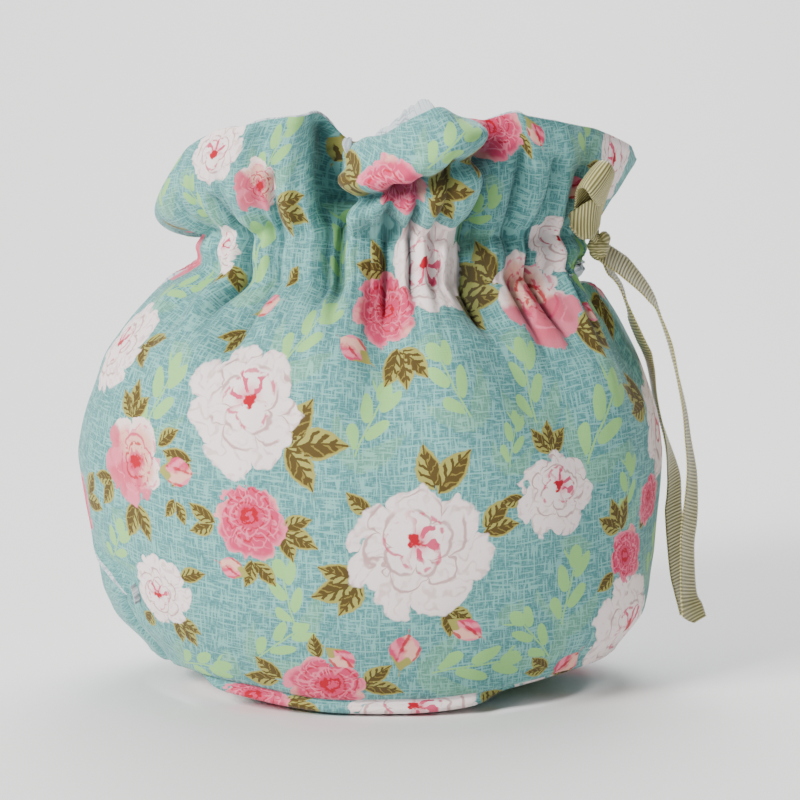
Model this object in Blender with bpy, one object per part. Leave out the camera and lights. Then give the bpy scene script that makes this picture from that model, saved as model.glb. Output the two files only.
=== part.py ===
"""A drawstring tea cosy: two padded cloth panels sewn to a padded oval base, gathered into a
neck under a flaring ruffle, with a strip of lining showing at the ruffle's rim and a ribbon
tied in a one-loop bow.

Millimetres in the tables, metres in Blender. The origin is the middle of the base's
underside, +Z is up, the front faces -Y, the spout's side is -X and the handle's is +X.
Angles run round the cosy in degrees: 0 is the front, -90 the spout's side, 90 the handle's.
"Height" is a station up the cloth: a real height on the body, and past UPPER_GATHER it
counts on through the ruffle up to RIM.
"""
import math

import bpy
import numpy as np

MM = 0.001

# Driving sizes, in millimetres.
CLOTH = 2.4
LINING = 0.9
GAP = 0.4
BASE_THICK = 5.5
BASE_LIFT = 6.2
LIFT_FADE = 45.0
SEAM = BASE_THICK + GAP
LOWER_GATHER = 147.0
UPPER_GATHER = 155.0
RIM = 200.0
CASING_DROP = 7.0
CASING_PUFF = 1.4
CASING_PINCH_REACH = 12.0
CASING_DROP_FROM = 95.0
PLAN_SOFTNESS = 3.0
RIM_SOFTNESS = 2.0
EDGE_SOFTNESS = 1.2
RIBBON_THICK = 0.9
LINING_PROUD = 3.4
LINING_DEPTH = 12.0
LINING_GAP = 0.8
LINING_FROM = -7.0
LINING_TO = 27.0

# How finely the cloth is cut into faces.
FRONT_COLUMNS = 42
BACK_COLUMNS = 28
BODY_STEP = 6.0
RUFFLE_ROWS = 9
BASE_SIDES = 40

# The cosy's plan at each height: how far it reaches from the middle to each side.
BODY = {
    "height": (SEAM, 12, 20, 31, 46, 62, 80, 97, 115, 128, 138, 147, 155),
    "left": (84.0, 87.3, 91.8, 95.4, 97.5, 101.8, 104.5, 100.8, 95.0, 86.0, 77.0, 62.5, 61.5),
    "right": (85.5, 88.6, 91.2, 93.3, 95.7, 97.0, 97.8, 94.8, 89.0, 83.0, 77.0, 72.0, 71.5),
    "front": (62.0, 66.5, 71.0, 76.0, 80.5, 83.5, 84.5, 83.0, 78.5, 72.5, 66.5, 60.5, 58.0),
    "back": (62.0, 66.5, 71.0, 76.0, 80.0, 83.0, 84.0, 82.0, 77.0, 71.0, 65.5, 60.0, 57.5),
}

# The panels' side edges at each height, in degrees. Where both edges of a side are equal the
# panels are sewn together, and elsewhere they part for the spout or the handle.
EDGES = {
    "height": (0, 30, 34, 40, 44, 50, 62, 78, 100, 125, 138, 143, 147, 150, 155, 200),
    "spout_front": (-66, -64, -61, -62, -65, -79, -85, -88, -90, -90, -89, -88, -88, -88, -88, -88),
    "spout_back": (-66, -64, -66, -77, -83, -89, -98, -110, -115, -105, -95, -90, -88, -88, -88, -88),
    "handle_front": (100, 100, 100, 100, 100, 100, 97, 92, 90, 89, 86, 74, 68, 88, 96, 97),
    "handle_back": (100, 100, 100, 100, 100, 100, 102, 107, 112, 112, 110, 108, 104, 102, 99, 101),
}
EDGE_REACH = 38.0

# The ruffle's rim in millimetres, and how far the ruffle swells out and up on its way there.
RIM_LINE = {
    "angle": (-95, -88, -76, -64, -52, -40, -28, -18, -12.5, -7, 0, 9, 18, 25,
              31, 42, 54, 66, 76, 86, 98, 120, 150, 180, 210, 240, 262),
    "x": (-71, -71, -68, -60, -52, -40, -27, -16.5, -8, -5, 0, 9, 19.5, 26,
          33, 45, 59, 72, 78.5, 86.5, 90.5, 75, 45, 4, -37, -64, -71),
    "y": (4, -5, -24, -47, -62, -72, -76, -71, -55, -64, -70, -77, -77, -70,
          -63, -66, -52, -32, -21, -10, 8, 42, 69, 76, 69, 36, 6),
    "z": (172, 172, 175, 185, 188, 189.5, 191, 192, 184.5, 186, 187.5, 191, 195.5, 192,
          191.5, 192.5, 191, 189.5, 187.5, 184, 179, 183, 185, 185, 184, 180, 172),
    "swell": (24, 25, 26, 22, 18, 15, 13, 9, 1, 14, 30, 36, 34, 22,
              7, 11, 9, 7, 7, 8, 9, 14, 16, 16, 16, 20, 24),
    "lift": (0, 1, 4, 11, 15, 17, 17, 18, 16, 15, 13, 14, 19, 23,
             22, 18, 16, 15, 14, 10, 4, 10, 12, 12, 12, 6, 0),
}

# The main folds. Each runs from a top to a foot, spreads over some degrees, and stands out
# (or, with a minus sign, sinks in) by its depth.
FOLD_COLUMNS = ("top_angle", "top_height", "foot_angle", "foot_height", "spread", "depth")
FOLDS = (
    (-66, 158, -50, 118, 5, -2.6),
    (-56, 158, -36, 100, 7, 2.4),
    (-46, 160, -32, 116, 5, -3.0),
    (-17, 160, -8, 96, 8, 2.8),
    (-11, 192, -12, 132, 3.2, -3.6),
    (1, 150, 1.5, 72, 5, -2.6),
    (14, 150, 13, 66, 9, 2.6),
    (19, 158, 25, 124, 5, -4.2),
    (25, 128, 40, 74, 7, -2.6),
    (34, 158, 40, 118, 5, 2.4),
    (46, 158, 45, 122, 4, -2.6),
    (56, 156, 49, 84, 7, 2.4),
    (72, 150, 66, 96, 6, -2.4),
    (130, 158, 136, 92, 7, -3.0),
    (160, 156, 158, 84, 8, 2.8),
    (186, 158, 184, 100, 6, -3.0),
    (215, 156, 210, 88, 8, 2.6),
    (240, 158, 238, 104, 7, -2.8),
)

# Gathers round the neck: count, height of the ripple, reach down the body and up the ruffle.
GATHER_COLUMNS = ("count", "height", "reach_down", "reach_up", "phase")
GATHERS = (
    (13, 1.9, 46.0, 60.0, 0.6),
    (29, 1.8, 17.0, 22.0, 2.1),
)

# The ribbon's routes: the middle line, and the way from one selvage to the other. That way is
# shorter than the ribbon's width where the ribbon is gathered or folded in.
RIBBON_COLUMNS = ("x", "y", "z", "wide_x", "wide_y", "wide_z")
LOOP = (
    (70.7, -29.2, 154.5, 0.7, 0.5, 2.6),
    (66.8, -34.0, 155.7, -0.3, 1.0, 4.2),
    (64.0, -36.7, 158.3, -0.5, 2.5, 4.9),
    (62.7, -38.7, 159.8, 0.1, 4.5, 3.5),
    (64.1, -39.5, 159.6, 0.6, 2.5, 7.6),
    (66.4, -39.0, 159.3, 0.2, 0.0, 11.5),
    (68.6, -38.2, 160.1, 0.3, -1.5, 12.4),
    (70.7, -36.2, 161.0, 1.1, -1.6, 12.2),
    (72.2, -33.0, 162.0, 1.9, -1.0, 11.0),
    (73.3, -30.0, 163.0, 2.4, 0.0, 10.5),
    (74.5, -30.5, 166.7, 4.0, 1.0, 9.8),
    (74.4, -36.5, 169.7, 6.1, 3.0, 10.1),
    (72.8, -42.8, 171.6, 6.9, 3.4, 9.9),
    (71.2, -45.0, 173.7, 7.2, 4.0, 9.4),
    (69.5, -44.1, 174.9, 7.0, 4.0, 8.9),
    (68.0, -41.0, 174.8, 6.9, 3.5, 8.6),
    (67.4, -38.8, 173.3, 7.4, 3.4, 9.0),
    (67.8, -36.3, 170.4, 8.3, 3.9, 8.5),
    (68.0, -34.1, 166.5, 8.5, 4.0, 7.6),
    (69.0, -30.9, 162.1, 6.2, 3.4, 5.9),
    (70.8, -25.8, 157.4, 3.2, 2.5, 3.3),
)
TAIL_FRONT = (
    (76.8, -21.1, 146.7, 3.0, 10.5, 6.1),
    (79.5, -21.2, 145.4, 3.4, 10.6, 5.7),
    (82.2, -21.1, 143.3, 3.7, 10.7, 5.3),
    (87.7, -20.6, 137.6, 3.3, 11.6, 3.4),
    (91.0, -20.4, 133.3, 2.6, 12.0, 2.2),
    (93.2, -20.3, 129.6, 1.3, 12.4, 1.1),
    (96.7, -20.2, 120.2, 0.4, 12.5, 0.0),
    (98.4, -20.4, 114.1, 0.7, 12.5, -0.4),
    (100.2, -20.7, 106.7, 1.5, 12.4, 0.0),
    (102.4, -21.1, 95.6, 2.6, 12.2, -0.4),
    (103.5, -21.9, 85.9, 3.4, 12.0, -1.1),
    (104.6, -23.7, 75.9, 4.6, 11.4, -2.0),
    (104.3, -25.6, 66.0, 5.7, 10.8, -2.6),
    (103.6, -26.9, 59.4, 6.2, 10.4, -3.0),
    (102.7, -28.8, 51.2, 5.9, 10.6, -3.0),
    (102.8, -32.3, 36.6, 6.5, 10.5, -2.0),
    (104.0, -33.5, 30.7, 7.8, 9.7, 1.1),
    (105.0, -33.2, 25.6, 8.5, 8.5, 3.2),
)
TAIL_BACK = (
    (76.9, -17.5, 142.6, 1.9, 12.2, 2.0),
    (79.7, -16.6, 139.2, 2.6, 12.2, 0.0),
    (81.5, -16.2, 136.1, 2.2, 12.3, -0.4),
    (84.1, -15.3, 129.0, 0.2, 12.5, 0.0),
    (85.1, -14.8, 125.6, -1.1, 12.5, 0.0),
    (88.3, -13.5, 118.7, -2.0, 12.3, 0.7),
    (90.2, -12.2, 115.2, -2.0, 12.3, 0.7),
    (91.6, -9.5, 111.6, -1.1, 12.4, 0.4),
    (92.9, -5.0, 107.9, -0.7, 12.5, 0.0),
    (94.7, 3.0, 101.3, 0.0, 12.5, 0.0),
    (96.7, 9.0, 94.1, 0.4, 12.5, 0.0),
    (99.9, 7.0, 82.4, 2.2, 12.3, 0.0),
    (101.0, -3.0, 72.0, 5.3, 11.3, 1.3),
    (100.8, -7.0, 66.2, 6.2, 10.8, 1.3),
    (100.4, -9.5, 59.6, 6.8, 10.4, 1.3),
    (101.8, -12.0, 41.6, 6.8, 10.4, 1.1),
    (102.9, -13.5, 33.2, 6.1, 10.9, -0.4),
    (103.8, -15.0, 27.6, 5.4, 11.2, -1.3),
    (104.2, -16.0, 25.0, 5.4, 11.1, -2.0),
)
KNOT_CENTRE = (73.0, -24.0, 150.7)
KNOT_SIZE = (3.4, 3.4, 4.2)

TEAL = (0.235, 0.435, 0.45)
TEAL_DEEP = (0.21, 0.40, 0.415)
OLIVE = (0.21, 0.19, 0.085)
LINING_GREY = (0.62, 0.64, 0.66)


def clear_scene():
    for obj in list(bpy.data.objects):
        bpy.data.objects.remove(obj, do_unlink=True)


def smooth(value):
    value = np.clip(value, 0.0, 1.0)
    return value * value * (3.0 - 2.0 * value)


def read(table, key, column, where, softness):
    """A column's value between its rows, with the corners rounded over the softness."""
    keys = np.array(table[key], float)
    values = np.array(table[column], float)
    offsets = np.linspace(-softness, softness, 7)
    return sum(np.interp(where + offset, keys, values) for offset in offsets) / len(offsets)


def wrap(angle):
    """The same direction, between -95 and 265 degrees."""
    return (angle + 95.0) % 360.0 - 95.0


def base_lift(angle):
    """How far the base's rim turns up: nothing at front and back, all of it at the sides."""
    reach = np.abs(np.sin(np.radians(angle)))
    return BASE_LIFT * smooth((reach - 0.12) / 0.78)


def plan_point(angle, height):
    """A point of the body or the casing, before folds."""
    names = ("left", "right", "front", "back")
    left, right, front, back = (read(BODY, "height", name, height, PLAN_SOFTNESS) for name in names)
    sine = np.sin(np.radians(angle))
    cosine = np.cos(np.radians(angle))
    x = (right + left) / 2 * sine + (right - left) / 2 * sine ** 2
    y = -(front + back) / 2 * cosine - (front - back) / 2 * cosine ** 2
    turned_up = base_lift(angle) * (1.0 - smooth((height - SEAM) / LIFT_FADE))
    drop = CASING_DROP * np.abs(cosine) * smooth((height - CASING_DROP_FROM) / 50.0)
    drop = drop * (1.0 - smooth((height - LOWER_GATHER) / (UPPER_GATHER - LOWER_GATHER)))
    return np.stack([x, y, height + turned_up - drop], axis=-1)


def ruffle_point(angle, share):
    """A point of the ruffle, from the upper gather (share 0) to the rim (share 1)."""
    foot = plan_point(angle, np.full_like(angle, UPPER_GATHER))
    place = wrap(angle)
    names = ("x", "y", "z", "swell", "lift")
    x, y, z, swell, lift = (read(RIM_LINE, "angle", name, place, RIM_SOFTNESS) for name in names)
    rim = np.stack([x, y, z], axis=-1)
    outward = np.stack([np.sin(np.radians(angle)), -np.cos(np.radians(angle)), 0 * angle], axis=-1)
    middle = foot + outward * swell[..., None]
    middle[..., 2] += lift
    share = share[..., None]
    return foot * (1 - share) ** 2 + middle * 2 * share * (1 - share) + rim * share ** 2


def bare_point(angle, height):
    """The cloth's outer face before its folds and gathers are pressed into it."""
    body = plan_point(angle, np.minimum(height, UPPER_GATHER))
    share = np.clip((height - UPPER_GATHER) / (RIM - UPPER_GATHER), 0.0, 1.5)
    return np.where((height > UPPER_GATHER)[..., None], ruffle_point(angle, share), body)


def gather_relief(angle, height):
    """Small pleats at the neck that die away down the body and up the ruffle."""
    turn = np.radians(angle)
    uneven = 0.22 * np.sin(2 * turn + 1.0) + 0.12 * np.sin(5 * turn + 2.0)
    strength = 0.5 + 0.5 * smooth((wrap(angle) + 22.0) / 30.0)
    below = np.maximum(LOWER_GATHER - height, 0.0)
    above = np.maximum(height - UPPER_GATHER, 0.0)
    relief = 0.0 * angle
    for values in GATHERS:
        row = dict(zip(GATHER_COLUMNS, values))
        fade = np.exp(-below / row["reach_down"] - above / row["reach_up"])
        relief = relief + row["height"] * fade * np.sin(row["count"] * (turn + uneven) + row["phase"])
    return relief * strength


def fold_relief(angle, height):
    """The main folds of the table."""
    place = wrap(angle)
    relief = 0.0 * place
    for values in FOLDS:
        row = dict(zip(FOLD_COLUMNS, values))
        length = row["top_height"] - row["foot_height"]
        along = (row["top_height"] - height) / length
        middle = row["top_angle"] + (row["foot_angle"] - row["top_angle"]) * np.clip(along, 0.0, 1.0)
        spread = row["spread"] * (1.0 + 0.5 * np.clip(along, 0.0, 1.0))
        window = smooth((along + 0.02) * length / 10.0) * smooth((1.0 - along) * 2.2)
        relief = relief + row["depth"] * window * np.exp(-((place - middle) / spread) ** 2)
    return relief


def casing_relief(height):
    """The casing stands out a little between its two rows of gathering."""
    middle = (LOWER_GATHER + UPPER_GATHER) / 2
    half = (UPPER_GATHER - LOWER_GATHER) / 2
    off_middle = np.abs(height - middle)
    puff = smooth(1.0 - off_middle / half)
    pinch = smooth(1.0 - off_middle / CASING_PINCH_REACH)
    return CASING_PUFF * (1.5 * puff - pinch)


def facing(points_across, points_up):
    normal = np.cross(points_across, points_up)
    return normal / np.linalg.norm(normal, axis=-1, keepdims=True)


def cloth_face(angle, height, inset=0.0):
    """Points of the folded cloth, a given distance in from its outer face."""
    def folded(turn, level):
        nudge = 0.4
        across = bare_point(turn + nudge, level) - bare_point(turn - nudge, level)
        up = bare_point(turn, level + nudge) - bare_point(turn, level - nudge)
        relief = gather_relief(turn, level) + fold_relief(turn, level) + casing_relief(level)
        return bare_point(turn, level) + facing(across, up) * relief[..., None]

    points = folded(angle, height)
    if inset == 0.0:
        return points
    reach = 1.6
    across = folded(angle + reach, height) - folded(angle - reach, height)
    up = folded(angle, height + reach) - folded(angle, height - reach)
    return points - facing(across, up) * inset


def panel_grid(sides, columns, heights):
    """The angles and heights of a panel's mesh points, kept between its two side edges."""
    across = np.linspace(0.0, 1.0, columns + 1)
    level, share = np.meshgrid(np.array(heights, float), across, indexing="ij")
    low = read(EDGES, "height", sides[0][0], level, EDGE_SOFTNESS) + sides[0][1]
    high = read(EDGES, "height", sides[1][0], level, EDGE_SOFTNESS) + sides[1][1]
    low_mean, high_mean = low[-1, 0], high[-1, 0]
    even = low_mean + (high_mean - low_mean) * share
    pull_low = (low - low_mean) * (1.0 - smooth((even - low_mean) / EDGE_REACH))
    pull_high = (high - high_mean) * (1.0 - smooth((high_mean - even) / EDGE_REACH))
    return even + pull_low + pull_high, level


def make_material(name, colour, roughness):
    material = bpy.data.materials.new(name)
    material.use_nodes = True
    shader = material.node_tree.nodes["Principled BSDF"]
    shader.inputs["Base Color"].default_value = (*colour, 1.0)
    shader.inputs["Roughness"].default_value = roughness
    shader.inputs["Metallic"].default_value = 0.0
    return material


def make_object(name, points, faces, colour, roughness=0.9):
    mesh = bpy.data.meshes.new(name)
    mesh.from_pydata([tuple(point * MM) for point in np.asarray(points)], [], faces)
    mesh.materials.append(make_material(name, colour, roughness))
    obj = bpy.data.objects.new(name, mesh)
    bpy.context.scene.collection.objects.link(obj)


def sheet_object(name, outer, inner, colour):
    """A closed sheet between two point grids of rows upwards and columns across."""
    rows, columns = outer.shape[:2]
    layer = rows * columns
    points = np.concatenate([outer.reshape(-1, 3), inner.reshape(-1, 3)])
    faces = []
    for row in range(rows - 1):
        for column in range(columns - 1):
            a = row * columns + column
            quad = (a, a + 1, a + columns + 1, a + columns)
            faces.append(quad)
            faces.append(tuple(layer + i for i in reversed(quad)))
    border = [column for column in range(columns)]
    border += [row * columns + columns - 1 for row in range(1, rows)]
    border += [(rows - 1) * columns + column for column in range(columns - 2, -1, -1)]
    border += [row * columns for row in range(rows - 2, 0, -1)]
    for here, there in zip(border, border[1:] + border[:1]):
        faces.append((there, here, layer + here, layer + there))
    make_object(name, points, faces, colour)


def cloth_heights():
    body = np.arange(SEAM, LOWER_GATHER - 14, BODY_STEP)
    neck = (135.0, 139.5, 143.5, LOWER_GATHER, 151.0, UPPER_GATHER)
    ruffle = np.linspace(UPPER_GATHER, RIM, RUFFLE_ROWS + 1)[1:]
    return np.concatenate([body, neck, ruffle])


def make_panels():
    seam = math.degrees(GAP / 2 / 60.0)
    heights = cloth_heights()
    front_sides = (("spout_front", seam), ("handle_front", -seam))
    back_sides = (("handle_back", seam), ("spout_back", 360.0 - seam))
    for name, sides, columns in (("front_panel", front_sides, FRONT_COLUMNS),
                                 ("back_panel", back_sides, BACK_COLUMNS)):
        angle, height = panel_grid(sides, columns, heights)
        outer = cloth_face(angle, height)
        inner = cloth_face(angle, height, CLOTH)
        sheet_object(name, outer, inner, TEAL)


def make_lining():
    """The lining's edge, inside the rim and a little prouder than it at the middle of the front."""
    angle, share = np.meshgrid(np.linspace(LINING_FROM, LINING_TO, 16), np.linspace(0.0, 1.0, 5))
    proud = LINING_PROUD * smooth((LINING_TO - angle) / 14.0) * smooth((angle - LINING_FROM + 2.0) / 6.0)
    height = RIM - LINING_DEPTH + (LINING_DEPTH + proud) * share
    outer = cloth_face(angle, height, CLOTH + LINING_GAP)
    inner = cloth_face(angle, height, CLOTH + LINING_GAP + LINING)
    sheet_object("ruffle_lining", outer, inner, LINING_GREY)


def make_base():
    """A padded oval with a flat middle, its sides turned up towards the panels."""
    radii = np.array([0.0, 0.3, 0.56, 0.72, 0.88, 0.97, 1.0])
    turned = smooth((radii - 0.56) / 0.44)
    rounding = np.array([0.0, 0.0, 0.0, 0.1, 0.35, 0.9, 1.6])
    angle = np.linspace(-180.0, 180.0, BASE_SIDES + 1)[:-1]
    rim = plan_point(angle, np.full_like(angle, SEAM))
    points, faces = [], []
    for side, top in ((0, False), (1, True)):
        for ring in range(1, len(radii)):
            outline = rim * radii[ring] * (0.995 if ring == len(radii) - 1 else 1.0)
            outline[:, 2] = base_lift(angle) * turned[ring]
            outline[:, 2] += BASE_THICK - 0.4 * rounding[ring] if top else rounding[ring]
            points.extend(outline)
        points.append(np.array([0.0, 0.0, BASE_THICK if top else 0.0]))
    per_side = (len(radii) - 1) * BASE_SIDES + 1
    for here in range(BASE_SIDES):
        there = (here + 1) % BASE_SIDES
        faces.append((per_side - 1, there, here))
        faces.append((2 * per_side - 1, per_side + here, per_side + there))
        for ring in range(len(radii) - 2):
            a, b = ring * BASE_SIDES, (ring + 1) * BASE_SIDES
            faces.append((a + here, a + there, b + there, b + here))
            upper = (a + here, b + here, b + there, a + there)
            faces.append(tuple(per_side + i for i in upper))
        last = (len(radii) - 2) * BASE_SIDES
        faces.append((last + here, last + there, per_side + last + there, per_side + last + here))
    make_object("base_panel", points, faces, TEAL_DEEP)


def spline(rows, count):
    """Smooth points through a route's own rows, evenly spaced by row."""
    rows = np.array(rows, float)
    padded = np.concatenate([[2 * rows[0] - rows[1]], rows, [2 * rows[-1] - rows[-2]]])
    points = []
    for place in np.linspace(0.0, len(rows) - 1.000001, count):
        i = int(place)
        t = place - i
        a, b, c, d = padded[i:i + 4]
        points.append(0.5 * (2 * b + (c - a) * t + (2 * a - 5 * b + 4 * c - d) * t ** 2
                             + (3 * b - a - 3 * c + d) * t ** 3))
    return np.array(points)


def make_ribbon(name, rows, count):
    """A flat strip along its route, as wide at each place as the table says."""
    route = dict(zip(RIBBON_COLUMNS, spline(rows, count).T))
    middle = np.stack([route["x"], route["y"], route["z"]], axis=1)
    width = np.stack([route["wide_x"], route["wide_y"], route["wide_z"]], axis=1)
    normal = facing(np.gradient(middle, axis=0), width)
    across = np.linspace(-0.5, 0.5, 3)
    strip = middle[:, None] + width[:, None] * across[None, :, None]
    half = normal[:, None] * RIBBON_THICK / 2
    sheet_object(name, strip - half, strip + half, OLIVE)


def make_knot():
    """Ribbon pulled into a small lump, waisted where the bow's turn crosses it."""
    rings, sides = 9, 14
    points, faces = [], []
    for ring in range(1, rings):
        polar = math.pi * ring / rings
        for side in range(sides):
            turn = 2 * math.pi * side / sides
            swell = 1.0 + 0.10 * math.cos(3 * turn + 2 * polar)
            points.append(np.array([
                KNOT_CENTRE[0] + KNOT_SIZE[0] * swell * math.sin(polar) * math.cos(turn),
                KNOT_CENTRE[1] + KNOT_SIZE[1] * swell * math.sin(polar) * math.sin(turn),
                KNOT_CENTRE[2] + KNOT_SIZE[2] * math.cos(polar)]))
    for pole in (1, -1):
        points.append(np.array(KNOT_CENTRE) + np.array([0, 0, pole * KNOT_SIZE[2]]))
    top, bottom = len(points) - 2, len(points) - 1
    for side in range(sides):
        following = (side + 1) % sides
        faces.append((top, side, following))
        last = (rings - 2) * sides
        faces.append((bottom, last + following, last + side))
        for ring in range(rings - 2):
            a, b = ring * sides, (ring + 1) * sides
            faces.append((a + side, b + side, b + following, a + following))
    make_object("ribbon_knot", points, faces, OLIVE)


def main():
    clear_scene()
    make_panels()
    make_lining()
    make_base()
    make_ribbon("ribbon_loop", LOOP, 41)
    make_ribbon("ribbon_tail_front", TAIL_FRONT, 35)
    make_ribbon("ribbon_tail_back", TAIL_BACK, 37)
    make_knot()


main()
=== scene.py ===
# %% [markdown]
# A drawstring tea cosy
#
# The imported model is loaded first. It is a fixed frame: each piece made below stands in for
# one of its plain solids and stays in that solid's place.

# %% Load the fixed frame
import math

import bpy
import numpy as np
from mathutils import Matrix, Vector, noise


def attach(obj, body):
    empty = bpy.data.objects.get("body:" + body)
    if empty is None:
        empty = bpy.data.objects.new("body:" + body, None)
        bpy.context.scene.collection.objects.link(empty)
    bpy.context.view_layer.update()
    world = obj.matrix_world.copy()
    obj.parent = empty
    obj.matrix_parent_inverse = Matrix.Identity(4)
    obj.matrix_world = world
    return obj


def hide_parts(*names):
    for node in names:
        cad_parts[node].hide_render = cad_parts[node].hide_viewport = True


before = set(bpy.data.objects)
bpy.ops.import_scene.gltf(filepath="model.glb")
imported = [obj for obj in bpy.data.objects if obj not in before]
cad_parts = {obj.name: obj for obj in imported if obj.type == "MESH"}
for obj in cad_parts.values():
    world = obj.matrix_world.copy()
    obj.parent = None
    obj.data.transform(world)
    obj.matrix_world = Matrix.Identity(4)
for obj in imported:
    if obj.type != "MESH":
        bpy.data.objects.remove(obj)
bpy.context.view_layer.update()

MM = 0.001
print("solids to dress:", ", ".join(sorted(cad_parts)))

# %% [markdown]
# The camera
#
# A lens at the height of the gathered neck, tilted a little down, sees the ruffle's mouth
# edge-on and the base as an oval. Its focal length is given in pixels of the square picture,
# and Blender wants it in millimetres of sensor, so one is worked out from the other.

# %% Set the camera
PICTURE = 800
FOCAL_PIXELS = 2174
SENSOR = 36.0
CAMERA_PLACE = (6.9, -750.0, 165.0)
CAMERA_TILT = 5.15

camera_data = bpy.data.cameras.new("camera")
camera_data.sensor_width = SENSOR
camera_data.lens = SENSOR * FOCAL_PIXELS / PICTURE
camera_data.clip_start = 0.01
camera = bpy.data.objects.new("camera", camera_data)
camera.location = Vector(CAMERA_PLACE) * MM
camera.rotation_euler = (math.radians(90.0 - CAMERA_TILT), 0.0, 0.0)
bpy.context.scene.collection.objects.link(camera)
bpy.context.scene.camera = camera
print("lens", round(camera_data.lens, 1), "mm")

# %% [markdown]
# Small helpers
#
# Every form here is worked out on NumPy grids, because a whole sheet of points can then be
# bent, gathered and measured in a few lines. `smooth` is the S-shaped step that lets one
# shape fade into another, and `grid_faces` joins a grid of points into four-sided faces.

# %% Helpers for grids of points
def smooth(value):
    value = np.clip(value, 0.0, 1.0)
    return value * value * (3.0 - 2.0 * value)


def bell(distance, width):
    return np.exp(-(distance / width) ** 2)


def unit(vectors):
    return vectors / np.maximum(np.linalg.norm(vectors, axis=-1, keepdims=True), 1e-9)


def grid_faces(rows, columns, first=0):
    row, column = np.meshgrid(np.arange(rows - 1), np.arange(columns - 1), indexing="ij")
    corner = first + (row * columns + column).ravel()
    return np.stack([corner, corner + 1, corner + columns + 1, corner + columns], axis=1)


def grid_border(rows, columns):
    bottom = list(range(columns))
    right = [row * columns + columns - 1 for row in range(1, rows)]
    top = [(rows - 1) * columns + column for column in range(columns - 2, -1, -1)]
    left = [row * columns for row in range(rows - 2, 0, -1)]
    return bottom + right + top + left


def add_piece(name, points, faces, materials, slots=None, uv=None):
    """A smooth-shaded mesh in metres, from points in millimetres."""
    mesh = bpy.data.meshes.new(name)
    mesh.from_pydata((np.asarray(points) * MM).tolist(), [], np.asarray(faces).tolist())
    for material in materials:
        mesh.materials.append(material)
    if slots is not None:
        mesh.polygons.foreach_set("material_index", np.asarray(slots, np.int32))
    mesh.polygons.foreach_set("use_smooth", np.ones(len(mesh.polygons), bool))
    if uv is not None:
        corners = np.empty(len(mesh.loops), np.int32)
        mesh.loops.foreach_get("vertex_index", corners)
        layer = mesh.uv_layers.new(name="cloth")
        layer.data.foreach_set("uv", np.asarray(uv, np.float32)[corners].ravel())
    obj = bpy.data.objects.new(name, mesh)
    bpy.context.scene.collection.objects.link(obj)
    mesh.update()
    return obj

# %% [markdown]
# The cloth's sizes
#
# These are the named sizes and tables that the solids were made from. `BODY` says how far the
# cosy reaches from its middle at each height, `EDGES` where the two panels are sewn together
# or part for the spout and the handle, and `RIM_LINE` walks round the ruffle's uneven rim.

# %% Sizes and tables of the cloth
CLOTH = 2.4
LINING = 0.9
GAP = 0.4
BASE_THICK = 5.5
BASE_LIFT = 6.2
LIFT_FADE = 45.0
SEAM = BASE_THICK + GAP
LOWER_GATHER = 147.0
UPPER_GATHER = 155.0
RIM = 200.0
CASING_DROP = 7.0
CASING_DROP_FROM = 95.0
CASING_PUFF = 1.4
CASING_PINCH_REACH = 12.0
PLAN_SOFTNESS = 3.0
RIM_SOFTNESS = 2.0
EDGE_SOFTNESS = 1.2
EDGE_REACH = 38.0

BODY = {
    "height": (SEAM, 12, 20, 31, 46, 62, 80, 97, 115, 128, 138, 147, 155),
    "left": (84.0, 87.3, 91.8, 95.4, 97.5, 101.8, 104.5, 100.8, 95.0, 86.0, 77.0, 62.5, 61.5),
    "right": (85.5, 88.6, 91.2, 93.3, 95.7, 97.0, 97.8, 94.8, 89.0, 83.0, 77.0, 72.0, 71.5),
    "front": (62.0, 66.5, 71.0, 76.0, 80.5, 83.5, 84.5, 83.0, 78.5, 72.5, 66.5, 60.5, 58.0),
    "back": (62.0, 66.5, 71.0, 76.0, 80.0, 83.0, 84.0, 82.0, 77.0, 71.0, 65.5, 60.0, 57.5),
}
EDGES = {
    "height": (0, 30, 34, 40, 44, 50, 62, 78, 100, 125, 138, 143, 147, 150, 155, 200),
    "spout_front": (-66, -64, -61, -62, -65, -79, -85, -88, -90, -90, -89, -88, -88, -88, -88, -88),
    "spout_back": (-66, -64, -62, -64, -68, -81, -94, -109, -115, -105, -95, -90, -88, -88, -88, -88),
    "handle_front": (100, 100, 100, 100, 100, 100, 97, 92, 90, 89, 86, 74, 68, 88, 96, 97),
    "handle_back": (100, 100, 100, 100, 100, 100, 102, 107, 112, 112, 110, 108, 104, 102, 99, 101),
}
RIM_LINE = {
    "angle": (-95, -88, -76, -64, -52, -40, -28, -18, -12.5, -7, 0, 9, 18, 25,
              31, 42, 54, 66, 76, 86, 98, 120, 150, 180, 210, 240, 262),
    "x": (-71, -71, -68, -60, -52, -40, -27, -16.5, -8, -5, 0, 9, 19.5, 26,
          33, 45, 59, 72, 78.5, 86.5, 90.5, 75, 45, 4, -37, -64, -71),
    "y": (4, -5, -24, -47, -62, -72, -76, -71, -55, -64, -70, -77, -77, -70,
          -63, -66, -52, -32, -21, -10, 8, 42, 69, 76, 69, 36, 6),
    "z": (172, 172, 175, 185, 188, 189.5, 191, 192, 184.5, 186, 187.5, 191, 195.5, 192,
          191.5, 192.5, 191, 189.5, 187.5, 184, 179, 183, 185, 185, 184, 180, 172),
    "swell": (24, 25, 26, 22, 18, 15, 13, 9, 1, 14, 30, 36, 34, 22,
              7, 11, 9, 7, 7, 8, 9, 14, 16, 16, 16, 20, 24),
    "lift": (0, 1, 4, 11, 15, 17, 17, 18, 16, 15, 13, 14, 19, 23,
             22, 18, 16, 15, 14, 10, 4, 10, 12, 12, 12, 6, 0),
}
print("body", BODY["left"][6] + BODY["right"][6], "mm wide; rim up to", max(RIM_LINE["z"]), "mm")

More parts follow.
